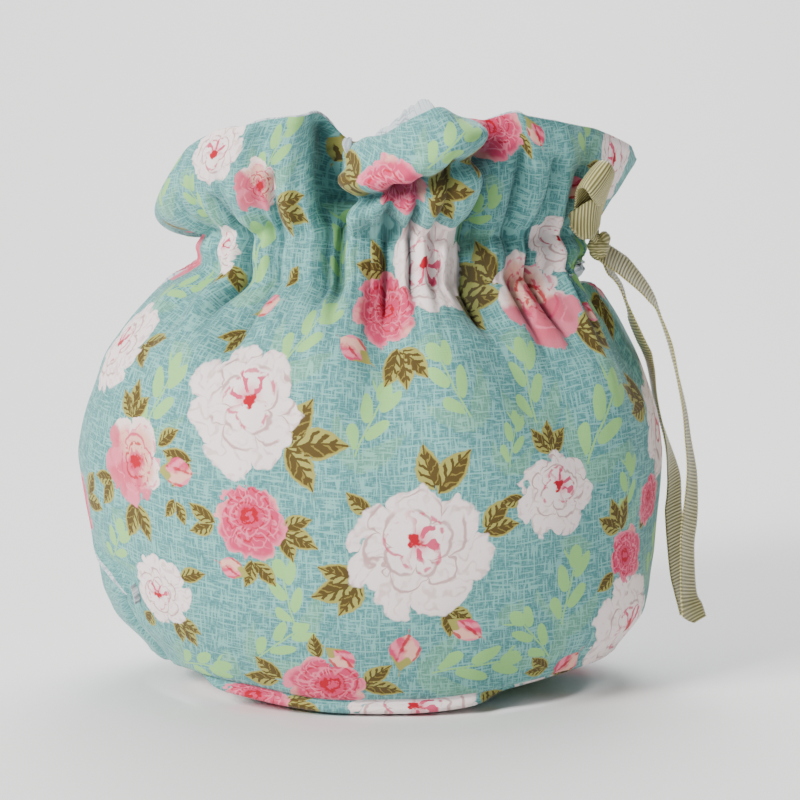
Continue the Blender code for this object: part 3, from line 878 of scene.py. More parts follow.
def draw_flowers(tree, ground, name):
    along, aside, tag, vector = motif(tree, name)
    seed = tag.rest() * 6.3
    hand = mottle(tree, vector, 2.2) - 0.5
    fine = mottle(tree, vector, 7.0) - 0.5
    radius, turn = round_places(along, aside, 0.0, 0.0)
    radius = radius + hand * 0.36 + fine * 0.13
    turn = turn + seed + hand * 1.4
    inner_radius, inner_turn = round_places(along, aside, 0.16, 0.10)
    inner_radius = inner_radius + hand * 0.26 + fine * 0.05
    inner_turn = inner_turn - seed + hand * 1.8
    kind = tag.do("FLOOR")
    brush = strokes_round(inner_turn, fine, 19.0, 0.35, 1.3)

    is_peony = (kind - 1.0).size().step(0.4, 0.3)
    outer = scallop(radius, turn, 7, 1.0, 0.22)
    flower = paint(tree, PETAL, PETAL_SHADE, outer.step(0.10, 0.0) * 0.4)
    flower = paint(tree, flower, PETAL_LINE, brush * inner_radius.step(0.34, 0.75) * 0.45)
    for size, petals, deep, round_turn in ((0.74, 6, 0.30, inner_turn), (0.52, 4, 0.36, turn - 0.6)):
        edge_line = scallop(inner_radius, round_turn, petals, size, deep).size().step(0.035, 0.010)
        flower = paint(tree, flower, PETAL_LINE, edge_line * hand.step(-0.14, 0.02) * 0.9)
    arc = scallop(inner_radius, inner_turn + 0.9, 3, 0.44, 0.34).size().step(0.040, 0.015)
    flower = paint(tree, flower, PINK, arc * fine.step(-0.06, 0.06) * 0.8)
    one_side = (inner_turn + 0.4).wave().step(-0.5, 0.3)
    heart = strokes_round(inner_turn, fine, 7.0, 0.30, 0.55) * (inner_radius + hand * 0.5).step(0.42, 0.34)
    flower = paint(tree, flower, PINK_PALE, inner_radius.step(0.30, 0.10) * one_side * 0.7)
    flower = paint(tree, flower, PINK, heart * inner_radius.step(0.08, 0.14) * one_side * 0.95)
    flower = paint(tree, flower, RED, (inner_radius + fine * 0.30).step(0.14, 0.09))
    ground = paint(tree, ground, flower, outer.step(-0.02, 0.02) * is_peony)

    is_rose = (kind - 2.0).size().step(0.4, 0.3)
    outer = scallop(radius, turn, 6, 0.98, 0.20)
    flower = paint(tree, PINK, PINK_PALE, outer.step(0.20, 0.02) * 0.9)
    broad_strokes = strokes_round(turn, hand, 3.0, 0.3, 1.4)
    flower = paint(tree, flower, PEACH, broad_strokes * outer.step(0.30, 0.05) * 0.8)
    for round_turn, petals, size, deep, edge in (
        (inner_turn, 5, 0.80, 0.30, PINK_PALE), (turn, 4, 0.66, 0.32, RED),
        (inner_turn + 0.8, 4, 0.52, 0.34, PINK_PALE), (turn - 0.9, 3, 0.40, 0.34, RED),
    ):
        inside = scallop(inner_radius, round_turn, petals, size, deep)
        flower = ring(tree, flower, inside, PINK, edge, 0.025)
        off_ring = (inner_radius - size).size()
        flower = paint(tree, flower, PINK_PALE, brush * off_ring.step(0.16, 0.02) * 0.8)
    flower = paint(tree, flower, RED, (inner_radius + fine * 0.3).step(0.24, 0.18))
    flower = paint(tree, flower, PINK, (inner_radius + fine * 0.5).step(0.10, 0.07))
    ground = paint(tree, ground, flower, outer.step(-0.02, 0.02) * is_rose)

    is_blush = (kind - 3.0).size().step(0.4, 0.3)
    outer = scallop(radius, turn, 5, 0.98, 0.24)
    lower = (aside + along * 0.3 + hand * 0.7).step(0.08, -0.16)
    flower = paint(tree, PEACH, PETAL, (outer + hand * 0.5).step(0.30, 0.05) * 0.8)
    flower = paint(tree, flower, PINK_PALE, brush * outer.step(0.0, 0.3) * 0.55)
    flower = paint(tree, flower, PINK, lower * 0.85)
    flower = paint(tree, flower, PINK_PALE, lower * strokes_round(turn, hand, 4.0, 0.2, 1.0) * 0.7)
    for round_turn, petals, size, edge in (
        (turn, 5, 0.76, PINK_PALE), (inner_turn, 4, 0.56, PINK), (turn + 0.7, 4, 0.40, RED),
    ):
        edge_line = scallop(inner_radius, round_turn, petals, size, 0.30).size().step(0.045, 0.015)
        flower = paint(tree, flower, edge, edge_line * fine.step(-0.10, 0.0) * 0.85)
    flower = paint(tree, flower, PINK, (inner_radius + fine * 0.3).step(0.30, 0.22) * 0.8)
    flower = paint(tree, flower, RED, (inner_radius + fine * 0.3).step(0.19, 0.13))
    ground = paint(tree, ground, flower, outer.step(-0.02, 0.02) * is_blush)

    is_bud = (kind - 4.0).size().step(0.4, 0.3)
    width = (along * along).flip().do("MAXIMUM", 0.0) * (along * 0.25 + 0.62)
    bud = width - aside.size() + hand * 0.2
    flower = paint(tree, PEACH, PINK, (aside + hand).step(-0.2, 0.25))
    pale_strokes = (aside * 6.0 - along * 3.0).wave() + hand * 2.0
    flower = paint(tree, flower, PINK_PALE, pale_strokes.step(0.2, 0.9))
    dark_strokes = (aside * 9.0 + along * 2.0).wave() + hand * 2.0
    flower = paint(tree, flower, RED, dark_strokes.step(0.7, 1.0) * 0.8)
    flower = paint(tree, flower, OLIVE_PALE, (along + (aside * 9.0).wave() * 0.16).step(-0.30, -0.42))
    return paint(tree, ground, flower, bud.step(-0.03, 0.03) * is_bud)


def draw_leaves(tree, ground, name):
    along, aside, tag, vector = motif(tree, name)
    hand = mottle(tree, vector, 3.0) - 0.5
    fine = mottle(tree, vector, 9.0) - 0.5
    aside = aside + (along * along) * 0.12 + hand * 0.06
    width = (along * along).flip().do("MAXIMUM", 0.0) * (along * -0.12 + 0.52)
    side = aside.size()
    blade = width - side + fine * 0.08 + (along * 15.0).wave() * 0.012
    leaf = paint(tree, OLIVE_PALE, OLIVE, blade.step(0.06, 0.12) * (aside + hand * 0.4).step(0.06, -0.04))
    strokes = ((along * 2.4 - side * 2.6 + hand * 1.2).rest() - 0.5).size()
    strokes = strokes + (aside + along * 0.1).step(0.0, -0.1) * 0.22
    leaf = paint(tree, leaf, OLIVE_DARK, strokes.step(0.28, 0.34) * blade.step(0.09, 0.14))
    midrib = (side + fine * 0.05).step(0.045, 0.02)
    leaf = paint(tree, leaf, OLIVE_DARK, midrib * blade.step(0.0, 0.04))
    is_leaf = tag.step(0.5, 0.6)
    return paint(tree, ground, leaf, blade.step(-0.02, 0.02) * is_leaf)


def oval(along, aside, half_length, half_width):
    """Above 0 inside an oval round the place where along and aside are 0."""
    x = along / half_length
    y = aside / half_width
    return (x * x + y * y).do("SQRT").flip()


def draw_sprays(tree, ground, name):
    along, aside, tag, vector = motif(tree, name)
    hand = mottle(tree, vector, 2.5) - 0.5
    aside = aside + (along * 2.0).wave() * 0.07 + hand * 0.06
    side = aside.size()
    shift = aside.step(-0.01, 0.01) * 0.5
    place = (along * LEAFLETS - side * (LEAFLETS * LEAFLET_LEAN) + shift).rest() - 0.5
    across = place / (LEAFLETS * math.hypot(1.0, LEAFLET_LEAN))
    outward = side * math.hypot(1.0, LEAFLET_LEAN) - 0.33
    mask = oval(outward + hand * 0.14, across + hand * 0.05, LEAFLET_LENGTH, LEAFLET_WIDTH)
    mask = mask * (along - side).step(0.58, 0.54)
    mask = mask * (along - side).step(-0.95, -0.90)
    end_leaflet = oval(along - 0.78, aside, LEAFLET_LENGTH, LEAFLET_WIDTH)
    mask = mask.do("MAXIMUM", end_leaflet).step(-0.02, 0.05)
    stem = side.step(0.030, 0.016) * along.step(0.85, 0.75) * along.step(-1.0, -0.95)
    is_spray = tag.step(0.5, 0.6)
    return paint(tree, ground, SPRAY_GREEN, mask.do("MAXIMUM", stem) * is_spray * 0.95)


print("petal colour in linear light", [round(value, 2) for value in PETAL])

# %% [markdown]
# The finishes
#
# The cotton's ground is duck-egg blue with a scribble of paler strokes that run along and
# across, like a loose linen weave. Strokes come from noise that is stretched one way. Cotton
# is matt, with a faint sheen from its loose fibres. The lining is a whitish cotton with thin
# grey lines, and it also makes the pale edge where the two cloths are turned in together.

# %% Make the cloth materials
GROUND = tone(82, 138, 139)
GROUND_DEEP = tone(68, 121, 124)
STROKE = tone(126, 183, 178)
# FURROW_SHADE is the colour multiplied into the cotton as painted shade in the furrows, creases and under
# the eave.
FURROW_SHADE = (0.28, 0.34, 0.36)
LINING_WHITE = tone(200, 208, 212)
LINING_LINE = tone(112, 126, 140)


def new_material(name, roughness, sheen):
    material = bpy.data.materials.new(name)
    material.use_nodes = True
    shader = material.node_tree.nodes["Principled BSDF"]
    shader.inputs["Roughness"].default_value = roughness
    shader.inputs["Specular IOR Level"].default_value = 0.3
    shader.inputs["Sheen Weight"].default_value = sheen
    shader.inputs["Sheen Roughness"].default_value = 0.4
    return material, material.node_tree, shader


def cloth_map(tree):
    node = tree.nodes.new("ShaderNodeUVMap")
    node.uv_map = "cloth"
    return node.outputs[0]


def add_bump(tree, shader, height, strength, distance):
    node = tree.nodes.new("ShaderNodeBump")
    node.inputs["Strength"].default_value = strength
    node.inputs["Distance"].default_value = distance
    tree.links.new(height.socket, node.inputs["Height"])
    tree.links.new(node.outputs[0], shader.inputs["Normal"])


def weave_height(tree, flat):
    across_threads = mottle(tree, stretch(tree, flat, 0.35, 2.2), 1.0)
    up_threads = mottle(tree, stretch(tree, flat, 2.2, 0.35), 1.0)
    return across_threads + up_threads + mottle(tree, flat, 0.16) * 3.0


printed_cotton, tree, shader = new_material("printed_cotton", 0.85, 0.15)
flat = cloth_map(tree)
ground = paint(tree, GROUND, GROUND_DEEP, mottle(tree, flat, 0.08))
bunches = mottle(tree, flat, 0.10)
STROKE_LAYERS = (
    (0.45, 2.8, 0.58, 0.45),
    (2.8, 0.45, 0.58, 0.45),
    (0.17, 1.4, 0.60, 0.90),
    (1.4, 0.17, 0.60, 0.90),
)
for across, up, from_, strength in STROKE_LAYERS:
    strokes = mottle(tree, stretch(tree, flat, across, up), 1.0, detail=0.5) + bunches * 0.08
    ground = paint(tree, ground, STROKE, strokes.step(from_, from_ + 0.07) * strength)
ground = draw_sprays(tree, ground, "spray")
ground = draw_leaves(tree, ground, "leaf")
ground = draw_flowers(tree, ground, "flower_under")
ground = draw_flowers(tree, ground, "flower_over")
# Painted shade: the cotton's colour is darkened in the furrows, the creases and under the eave, as far as
# the furrow depth stored on each point says.
painted_furrow_shade = tree.nodes.new("ShaderNodeAttribute")
painted_furrow_shade.attribute_name = "painted_furrow_shade"
ground = paint_shade(tree, ground, FURROW_SHADE, Wire(tree, painted_furrow_shade.outputs["Fac"]))
tree.links.new(ground, shader.inputs["Base Color"])
add_bump(tree, shader, weave_height(tree, flat), 0.35, 0.0002)
print("printed cotton:", len(tree.nodes), "nodes")

lining, tree, shader = new_material("lining", 0.88, 0.12)
flat = cloth_map(tree)
ground = LINING_WHITE
for across, up in ((0.06, 0.9), (0.9, 0.06)):
    strokes = mottle(tree, stretch(tree, flat, across, up), 1.0, detail=1.0)
    ground = paint(tree, ground, LINING_LINE, strokes.step(0.56, 0.62) * 0.60)
tree.links.new(ground, shader.inputs["Base Color"])
add_bump(tree, shader, weave_height(tree, flat), 0.3, 0.0002)

# %% [markdown]
# The ribbon
#
# One long ribbon runs through the casing and is tied in a bow. Only the loop and the two tails
# show. Each follows a route of points, and each point also says how to get from one selvage to
# the other, so the ribbon can twist as it falls and narrow where it is folded into the knot. It
# is grosgrain: thick cross threads make a rib every millimetre or so, rounder than the furrows
# between them, and each rib's crest carries a paler painted highlight.

# %% Routes of the ribbon
RIBBON_WIDTH = 12.5
RIBBON_HALF = 0.34
RIB_PITCH = 1.15
RIB_HEIGHT = 0.15
POINTS_PER_RIB = 6
# Each row is a point of the ribbon's middle and the way across it, both as x, y and z.
LOOP = (
    (72.6, -26.2, 152.4, 0.6, 0.4, 2.2),
    (70.7, -29.2, 154.5, 0.7, 0.5, 2.6),
    (66.8, -34.0, 155.7, -0.3, 1.0, 4.2),
    (64.0, -36.7, 158.3, -0.5, 2.5, 4.9),
    (62.7, -38.7, 159.8, 0.1, 4.5, 3.5),
    (64.1, -39.5, 159.6, 0.6, 2.5, 7.6),
    (66.4, -39.0, 159.3, 0.2, 0.0, 11.5),
    (68.6, -38.2, 160.1, 0.3, -1.5, 12.4),
    (70.7, -36.2, 161.0, 1.1, -1.6, 12.2),
    (72.2, -33.0, 162.0, 1.9, -1.0, 11.0),
    (73.3, -30.0, 163.0, 2.4, 0.0, 10.5),
    (74.5, -30.5, 166.7, 4.0, 1.0, 9.8),
    (74.4, -36.5, 169.7, 6.1, 3.0, 10.1),
    (72.8, -42.8, 171.6, 6.9, 3.4, 9.9),
    (71.2, -45.0, 173.7, 7.2, 4.0, 9.4),
    (69.5, -44.1, 174.9, 7.0, 4.0, 8.9),
    (68.0, -41.0, 174.8, 6.9, 3.5, 8.6),
    (67.4, -38.8, 173.3, 7.4, 3.4, 9.0),
    (67.8, -36.3, 170.4, 8.3, 3.9, 8.5),
    (68.0, -34.1, 166.5, 8.5, 4.0, 7.6),
    (69.0, -30.9, 162.1, 6.2, 3.4, 5.9),
    (70.8, -25.8, 157.4, 3.2, 2.5, 3.3),
    (72.2, -24.6, 153.4, 1.4, 1.0, 1.6),
)
TAIL_FRONT = (
    (73.0, -22.6, 149.4, 2.0, 7.0, 4.6),
    (74.8, -21.5, 148.4, 2.6, 10.6, 6.1),
    (79.5, -21.2, 145.4, 3.4, 10.6, 5.7),
    (82.2, -21.1, 143.3, 3.7, 10.7, 5.3),
    (87.7, -20.6, 137.6, 3.3, 11.6, 3.4),
    (91.0, -20.4, 133.3, 2.6, 12.0, 2.2),
    (93.2, -20.3, 129.6, 1.3, 12.4, 1.1),
    (96.7, -20.2, 120.2, 0.4, 12.5, 0.0),
    (98.4, -20.4, 114.1, 0.7, 12.5, -0.4),
    (100.2, -20.7, 106.7, 1.5, 12.4, 0.0),
    (102.4, -21.1, 95.6, 2.6, 12.2, -0.4),
    (103.5, -21.9, 85.9, 3.4, 12.0, -1.1),
    (104.6, -23.7, 75.9, 4.6, 11.4, -2.0),
    (104.3, -25.6, 66.0, 5.7, 10.8, -2.6),
    (103.6, -26.9, 59.4, 6.2, 10.4, -3.0),
    (102.7, -28.8, 51.2, 5.9, 10.6, -3.0),
    (102.8, -32.3, 36.6, 6.5, 10.5, -2.0),
    (104.0, -33.5, 30.7, 7.8, 9.7, 1.1),
    (105.0, -33.2, 25.6, 8.5, 8.5, 3.2),
)
TAIL_BACK = (
    (74.8, -19.6, 146.8, 1.2, 8.0, 2.0),
    (76.9, -17.5, 142.6, 1.9, 12.2, 2.0),
    (79.7, -16.6, 139.2, 2.6, 12.2, 0.0),
    (81.5, -16.2, 136.1, 2.2, 12.3, -0.4),
    (84.1, -15.3, 129.0, 0.2, 12.5, 0.0),
    (85.1, -14.8, 125.6, -1.1, 12.5, 0.0),
    (88.3, -13.5, 118.7, -2.0, 12.3, 0.7),
    (90.2, -12.2, 115.2, -2.0, 12.3, 0.7),
    (91.6, -9.5, 111.6, -1.1, 12.4, 0.4),
    (92.9, -5.0, 107.9, -0.7, 12.5, 0.0),
    (94.7, 3.0, 101.3, 0.0, 12.5, 0.0),
    (96.7, 9.0, 94.1, 0.4, 12.5, 0.0),
    (99.9, 7.0, 82.4, 2.2, 12.3, 0.0),
    (101.0, -3.0, 72.0, 5.3, 11.3, 1.3),
    (100.8, -7.0, 66.2, 6.2, 10.8, 1.3),
    (100.4, -9.5, 59.6, 6.8, 10.4, 1.3),
    (101.8, -12.0, 41.6, 6.8, 10.4, 1.1),
    (102.9, -13.5, 33.2, 6.1, 10.9, -0.4),
    (103.8, -15.0, 27.6, 5.4, 11.2, -1.3),
    (104.2, -16.0, 25.0, 5.4, 11.1, -2.0),
)


def spline(rows, count):
    """Smooth points through a route's own rows, evenly spaced by row."""
    rows = np.array(rows, float)
    padded = np.concatenate([[2 * rows[0] - rows[1]], rows, [2 * rows[-1] - rows[-2]]])
    points = []
    for place in np.linspace(0.0, len(rows) - 1.000001, count):
        i = int(place)
        t = place - i
        a, b, c, d = padded[i:i + 4]
        points.append(0.5 * (2 * b + (c - a) * t + (2 * a - 5 * b + 4 * c - d) * t ** 2
                             + (3 * b - a - 3 * c + d) * t ** 3))
    return np.array(points)


def lengths_along(points):
    steps = np.linalg.norm(np.diff(points, axis=0), axis=1)
    return np.concatenate([[0.0], np.cumsum(steps)])


print("ribbon", RIBBON_WIDTH, "mm wide, a rib every", RIB_PITCH, "mm")

# %% The ribbon's finish
RIBBON_OLIVE = tone(118, 113, 68)
RIBBON_CREST_HIGHLIGHT = tone(214, 205, 146)

ribbon, tree, shader = new_material("ribbon", 0.42, 0.2)
shader.inputs["Specular IOR Level"].default_value = 0.45
flat = cloth_map(tree)
split = tree.nodes.new("ShaderNodeSeparateXYZ")
tree.links.new(flat, split.inputs[0])
along_ribbon = Wire(tree, split.outputs[1])
crest = (along_ribbon * (2 * math.pi / RIB_PITCH)).wave()
crest_highlight_mottle = mottle(tree, flat, 0.25) * 0.6
# Painted highlight: the rib crests are painted paler than the furrows, more strongly in some patches than
# others.
ground = paint(tree, RIBBON_OLIVE, RIBBON_CREST_HIGHLIGHT, crest.step(-0.3, 0.9) * (crest_highlight_mottle + 0.4))
tree.links.new(ground, shader.inputs["Base Color"])
print("ribbon finish made")

# %% Make the loop and the tails
RIBBON_COLUMNS_ACROSS = 12


def sheet_points(outer, inner):
    """A closed sheet's points and faces, from its outer and inner grids."""
    rows, columns = outer.shape[:2]
    layer = rows * columns
    front = grid_faces(rows, columns)
    back = grid_faces(rows, columns, layer)[:, ::-1]
    border = np.array(grid_border(rows, columns))
    after = np.roll(border, -1)
    rim = np.stack([after, border, layer + border, layer + after], axis=1)
    points = np.concatenate([outer.reshape(-1, 3), inner.reshape(-1, 3)])
    slots = np.concatenate([np.zeros(len(front)), np.ones(len(back)), np.ones(len(rim))])
    return points, np.concatenate([front, back, rim]), slots


def make_ribbon(name, rows, slants):
    """A ribbed strip; slants are how far its two ends are cut askew, in millimetres."""
    dense = spline(rows, 400)
    length = lengths_along(dense[:, :3])
    count = int(length[-1] / RIB_PITCH * POINTS_PER_RIB)
    along = np.linspace(0.0, length[-1], count)
    across = np.linspace(-1.0, 1.0, RIBBON_COLUMNS_ACROSS + 1)
    start_share = np.clip(1.0 - along / 14.0, 0.0, 1.0)
    end_share = np.clip(1.0 - (length[-1] - along) / 14.0, 0.0, 1.0)
    slant = slants[0] * start_share + slants[1] * end_share
    place = np.clip(along[:, None] + slant[:, None] * across[None, :], 0.0, length[-1])
    route = np.stack([np.interp(place, length, dense[:, column]) for column in range(6)], axis=-1)
    tangent_rows = unit(np.gradient(dense[:, :3], axis=0))
    tangent = unit(np.stack([np.interp(place, length, tangent_rows[:, i]) for i in range(3)], axis=-1))
    width = route[..., 3:]
    normal = unit(np.cross(tangent, width))
    curl = 0.5 * across[None, :, None] ** 2
    middle = route[..., :3] + width * across[None, :, None] / 2 + normal * curl
    edge = 1.0 - 0.35 * smooth((np.abs(across) - 0.85) / 0.15)
    half = (RIBBON_HALF + RIB_HEIGHT * np.sin(place * 2 * math.pi / RIB_PITCH)) * edge
    lower = middle - normal * half[..., None]
    upper = middle + normal * half[..., None]
    points, faces, slots = sheet_points(lower, upper)
    uv = np.stack([np.broadcast_to(across * RIBBON_WIDTH / 2, place.shape), place], axis=-1)
    uv = np.concatenate([uv.reshape(-1, 2)] * 2)
    piece = add_piece(name, points, faces, [ribbon], uv=uv)
    path = [tuple(point) for point in spline(rows, 60)[:, :3] * MM]
    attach(piece, "root")
    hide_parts(name[len("fine_"):])
    return piece, path, length[-1] * MM


TUCKED_IN = 1.0
loop, path, length = make_ribbon("fine_ribbon_loop", LOOP, (0.0, 0.0))
length + 2 * TUCKED_IN * MM
print("loop", round(length * 1000), "mm long")
for name, rows, slants in (
    ("fine_ribbon_tail_front", TAIL_FRONT, (0.0, 4.0)),
    ("fine_ribbon_tail_back", TAIL_BACK, (0.0, -3.0)),
):
    piece, path, length = make_ribbon(name, rows, slants)
    length + TUCKED_IN * MM
    print(name, round(length * 1000), "mm long")

# %% [markdown]
# The knot
#
# The bow's middle is a turn of ribbon pulled tight over the crossing of loop and tails. Pulled
# that hard, the ribbon folds into pleats that all lead into the turn, so the lump is made of
# ridges that run round it, it is waisted where the turn sits, and a corner of the ribbon
# sticks out of the top like an ear.

# %% Make the knot
KNOT_CENTRE = (73.0, -24.0, 150.7)
KNOT_SIZE = (3.5, 3.5, 4.3)
EAR = (0.62, -0.25, 0.75)
KNOT_ROWS = 90
KNOT_COLUMNS = 120

polar, turn = np.meshgrid(np.linspace(0.02, math.pi - 0.02, KNOT_ROWS),
                          np.linspace(0.0, 2 * math.pi, KNOT_COLUMNS + 1), indexing="ij")
twist = turn + 1.3 * np.cos(polar)
pleats = 0.08 * np.abs(np.sin(2.5 * twist + 0.7)) ** 0.7 + 0.03 * np.sin(7 * twist + 2 * polar)
waist = -0.10 * bell(polar - 1.9, 0.16) + 0.06 * bell(polar - 1.5, 0.3)
ribs = 0.012 * np.sin(polar * 2 * KNOT_SIZE[2] * 3.0)
towards = np.sin(polar) * (np.cos(turn) * EAR[0] + np.sin(turn) * EAR[1]) + np.cos(polar) * EAR[2]
ear = 0.42 * smooth((towards - 0.80) / 0.2)
swell = 0.95 + pleats + waist + ribs + ear
sideways = np.sin(polar) * swell
points = np.stack([KNOT_CENTRE[0] + KNOT_SIZE[0] * sideways * np.cos(turn),
                   KNOT_CENTRE[1] + KNOT_SIZE[1] * sideways * np.sin(turn),
                   KNOT_CENTRE[2] + KNOT_SIZE[2] * swell * np.cos(polar)], axis=-1)
points[:, -1] = points[:, 0]
uv = np.stack([turn * 4.0, polar * 5.0], axis=-1)
faces = grid_faces(KNOT_ROWS, KNOT_COLUMNS + 1)[:, ::-1]
knot = add_piece("fine_ribbon_knot", points.reshape(-1, 3), faces, [ribbon], uv=uv.reshape(-1, 2))
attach(knot, "root")
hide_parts("ribbon_knot")
print("knot", len(knot.data.polygons), "faces")

# %% [markdown]
# The two panels
#
# Front and back are each a closed sheet: printed cotton outside, lining inside, and the turned
# hem between them. The hem is rounded by letting both faces draw together over the last
# couple of millimetres. Where the panels are sewn, the cloth dips into the seam.

# %% Make the panels
ROW_STEP = 1.25
RUFFLE_STEP = 0.8
HEM_ROUND = 2.2
SEAM_DIP = 1.1
SEAM_DIP_WIDTH = 2.4
BASE_SEAM_DIP = 0.5
HEM_SHOWN = 2.2
HEM_DROP = 1.5
HEM_TUCK = 0.055
SLIT_FOOT = 41.0
SLIT_LIFT = 4.6
SEAM_OFFSET = math.degrees(GAP / 2 / 60.0)
STITCH_DIP = 0.35


def edge_distances(points):
    """How far each grid point is from the two sides, the bottom and the rim, in millimetres."""
    across = np.linalg.norm(np.diff(points, axis=1), axis=-1)
    across = np.concatenate([np.zeros((len(points), 1)), np.cumsum(across, axis=1)], axis=1)
    up = np.linalg.norm(np.diff(points, axis=0), axis=-1)
    up = np.concatenate([np.zeros((1, points.shape[1])), np.cumsum(up, axis=0)])
    return across, across[:, -1:] - across, up, up[-1:] - up


def parting(angle, height, side):
    """Whether a side edge is on the spout's side, and how many degrees the panels part there."""
    spout = math.sin(math.radians(angle[-1, side])) < 0.0
    names = ("spout_front", "spout_back") if spout else ("handle_front", "handle_back")
    level = height[:, side]
    apart = read(EDGES, "height", names[1], level, 1.0) - read(EDGES, "height", names[0], level, 1.0)
    return spout, np.abs(apart)


def seam_relief(angle, height, points):
    """Dips along the sewn sides, the base seam and the two rows of gathering stitches."""
    low, high, bottom, _ = edge_distances(points)
    relief = -BASE_SEAM_DIP * bell(bottom, 1.2)
    for distance, side in ((low, 0), (high, -1)):
        spout, apart = parting(angle, height, side)
        sewn = 1.0 - smooth((apart - 0.5) / 3.0)
        relief = relief - SEAM_DIP * sewn[:, None] * bell(distance, SEAM_DIP_WIDTH)
        if spout and side == 0:
            relief = relief + SLIT_LIFT * bell(distance, 5.0) * bell(height - SLIT_FOOT, 8.0)
    for level in (LOWER_GATHER, UPPER_GATHER):
        stitch = 0.6 + 0.4 * np.sin(130 * np.radians(angle) + level)
        relief = relief - STITCH_DIP * stitch * bell(height - level, 0.9)
    return relief


def hem_side(angle):
    """0 where the base seam shows at the front, and 1 where the hem hides it."""
    sine = np.sin(np.radians(angle))
    behind = np.cos(np.radians(angle)) < 0.0
    shown = np.maximum(smooth((sine - 0.34) / 0.25), smooth((-sine - 0.60) / 0.25))
    return np.where(behind, smooth((np.abs(sine) - 0.4) / 0.3), shown)


def make_panel(name, node, sides, columns, repeats):
    heights = np.concatenate([[SEAM - 0.5], np.arange(SEAM, LOWER_GATHER - 14, ROW_STEP),
                              np.arange(LOWER_GATHER - 14, RIM - 0.4, RUFFLE_STEP), [RIM]])
    angle, height = panel_grid(sides, columns, heights)
    plain, _ = folded_grid(angle, height)
    outer, facing = folded_grid(angle, height, seam_relief(angle, height, plain))
    near_hem = hem_side(angle) * (1.0 - smooth((height - SEAM) / 16.0))
    outer[..., 2] -= HEM_DROP * near_hem
    outer[..., :2] *= (1.0 - HEM_TUCK * near_hem)[..., None]
    low, high, bottom, top = edge_distances(outer)
    nearest = np.minimum(np.minimum(low, high), np.minimum(bottom, top))
    drawn_in = 1.0 - smooth(nearest / HEM_ROUND)
    inner = outer - facing * (CLOTH * (1.0 - 0.28 * drawn_in))[..., None]
    outer = outer - facing * (CLOTH * 0.28 * drawn_in)[..., None]
    flat = flat_places(angle, height, bare_point(angle, height))
    flat[..., 0] -= repeats * PRINT_REPEAT
    points, faces, slots = sheet_points(outer, inner)
    turned_out = np.zeros(outer.shape[:2], bool)
    for distance, side in ((low, 0), (high, -1)):
        open_edge = (parting(angle, height, side)[1] > 1.0) & (height[:, side] < LOWER_GATHER)
        turned_out |= open_edge[:, None] & (distance < HEM_SHOWN)
    slots[:turned_out[1:, 1:].size] = turned_out[:-1, :-1].ravel() | turned_out[1:, 1:].ravel()
    flat = np.concatenate([flat.reshape(-1, 2)] * 2)
    piece = add_piece(name, points, faces, [printed_cotton, lining], slots, flat)
    stamp_print(piece, flat)
    # Painted shade: each point's furrow depth is stored here, so the cotton's colour is darkened there.
    attribute = piece.data.attributes.new("painted_furrow_shade", "FLOAT", "POINT")
    depth = np.tile(furrow_shade_amount(angle, height).ravel(), 2)
    attribute.data.foreach_set("value", depth.astype(np.float32))
    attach(piece, "root")
    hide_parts(node)
    print(name, len(faces), "faces; flat", np.ptp(flat, axis=0).round(), "mm")


FRONT_SIDES = (("spout_front", SEAM_OFFSET), ("handle_front", -SEAM_OFFSET))
BACK_SIDES = (("handle_back", SEAM_OFFSET), ("spout_back", 360.0 - SEAM_OFFSET))
make_panel("fine_front_panel", "front_panel", FRONT_SIDES, 260, 0)
make_panel("fine_back_panel", "back_panel", BACK_SIDES, 220, 1)

# %% [markdown]
# The lining at the rim
#
# Over the middle of the front the lining stands a few millimetres proud of the printed cloth,
# because the two were turned in together and the lining crept up. It is a narrow strip with
# small waves along its edge.

# %% Make the lining strip
LINING_PROUD = 4.8
LINING_DEPTH = 12.0
LINING_GAP = 0.8
LINING_FROM = -7.0
LINING_TO = 27.0

angle, share = np.meshgrid(np.linspace(LINING_FROM, LINING_TO, 130), np.linspace(0.0, 1.0, 36))
proud = LINING_PROUD * smooth((LINING_TO - angle) / 14.0) * smooth((angle - LINING_FROM + 2.0) / 6.0)
proud = proud + 0.75 * np.abs(np.sin(np.radians(angle) * 46.0)) * smooth(proud / 2.0)
height = RIM - LINING_DEPTH + (LINING_DEPTH + proud) * share
outer, facing = folded_grid(angle, height)
near_edge = 1.0 - smooth((1.0 - share) * 14.0 / 1.5)
outer = outer - facing * (CLOTH + LINING_GAP + 0.25 * near_edge)[..., None]
inner = outer - facing * (LINING - 0.5 * near_edge)[..., None]
points, faces, slots = sheet_points(outer, inner)
uv = np.concatenate([flat_places(angle, height, outer).reshape(-1, 2)] * 2)
strip = add_piece("fine_ruffle_lining", points, faces, [lining], uv=uv)
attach(strip, "root")
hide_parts("ruffle_lining")
print("lining strip", len(faces), "faces")

# %% [markdown]
# The padded base
#
# The base is an oval with wadding in it, sewn to the panels a little above the table. Its rim
# is soft and round, and it turns up at the front and the sides, as a full tea cosy pulls it.

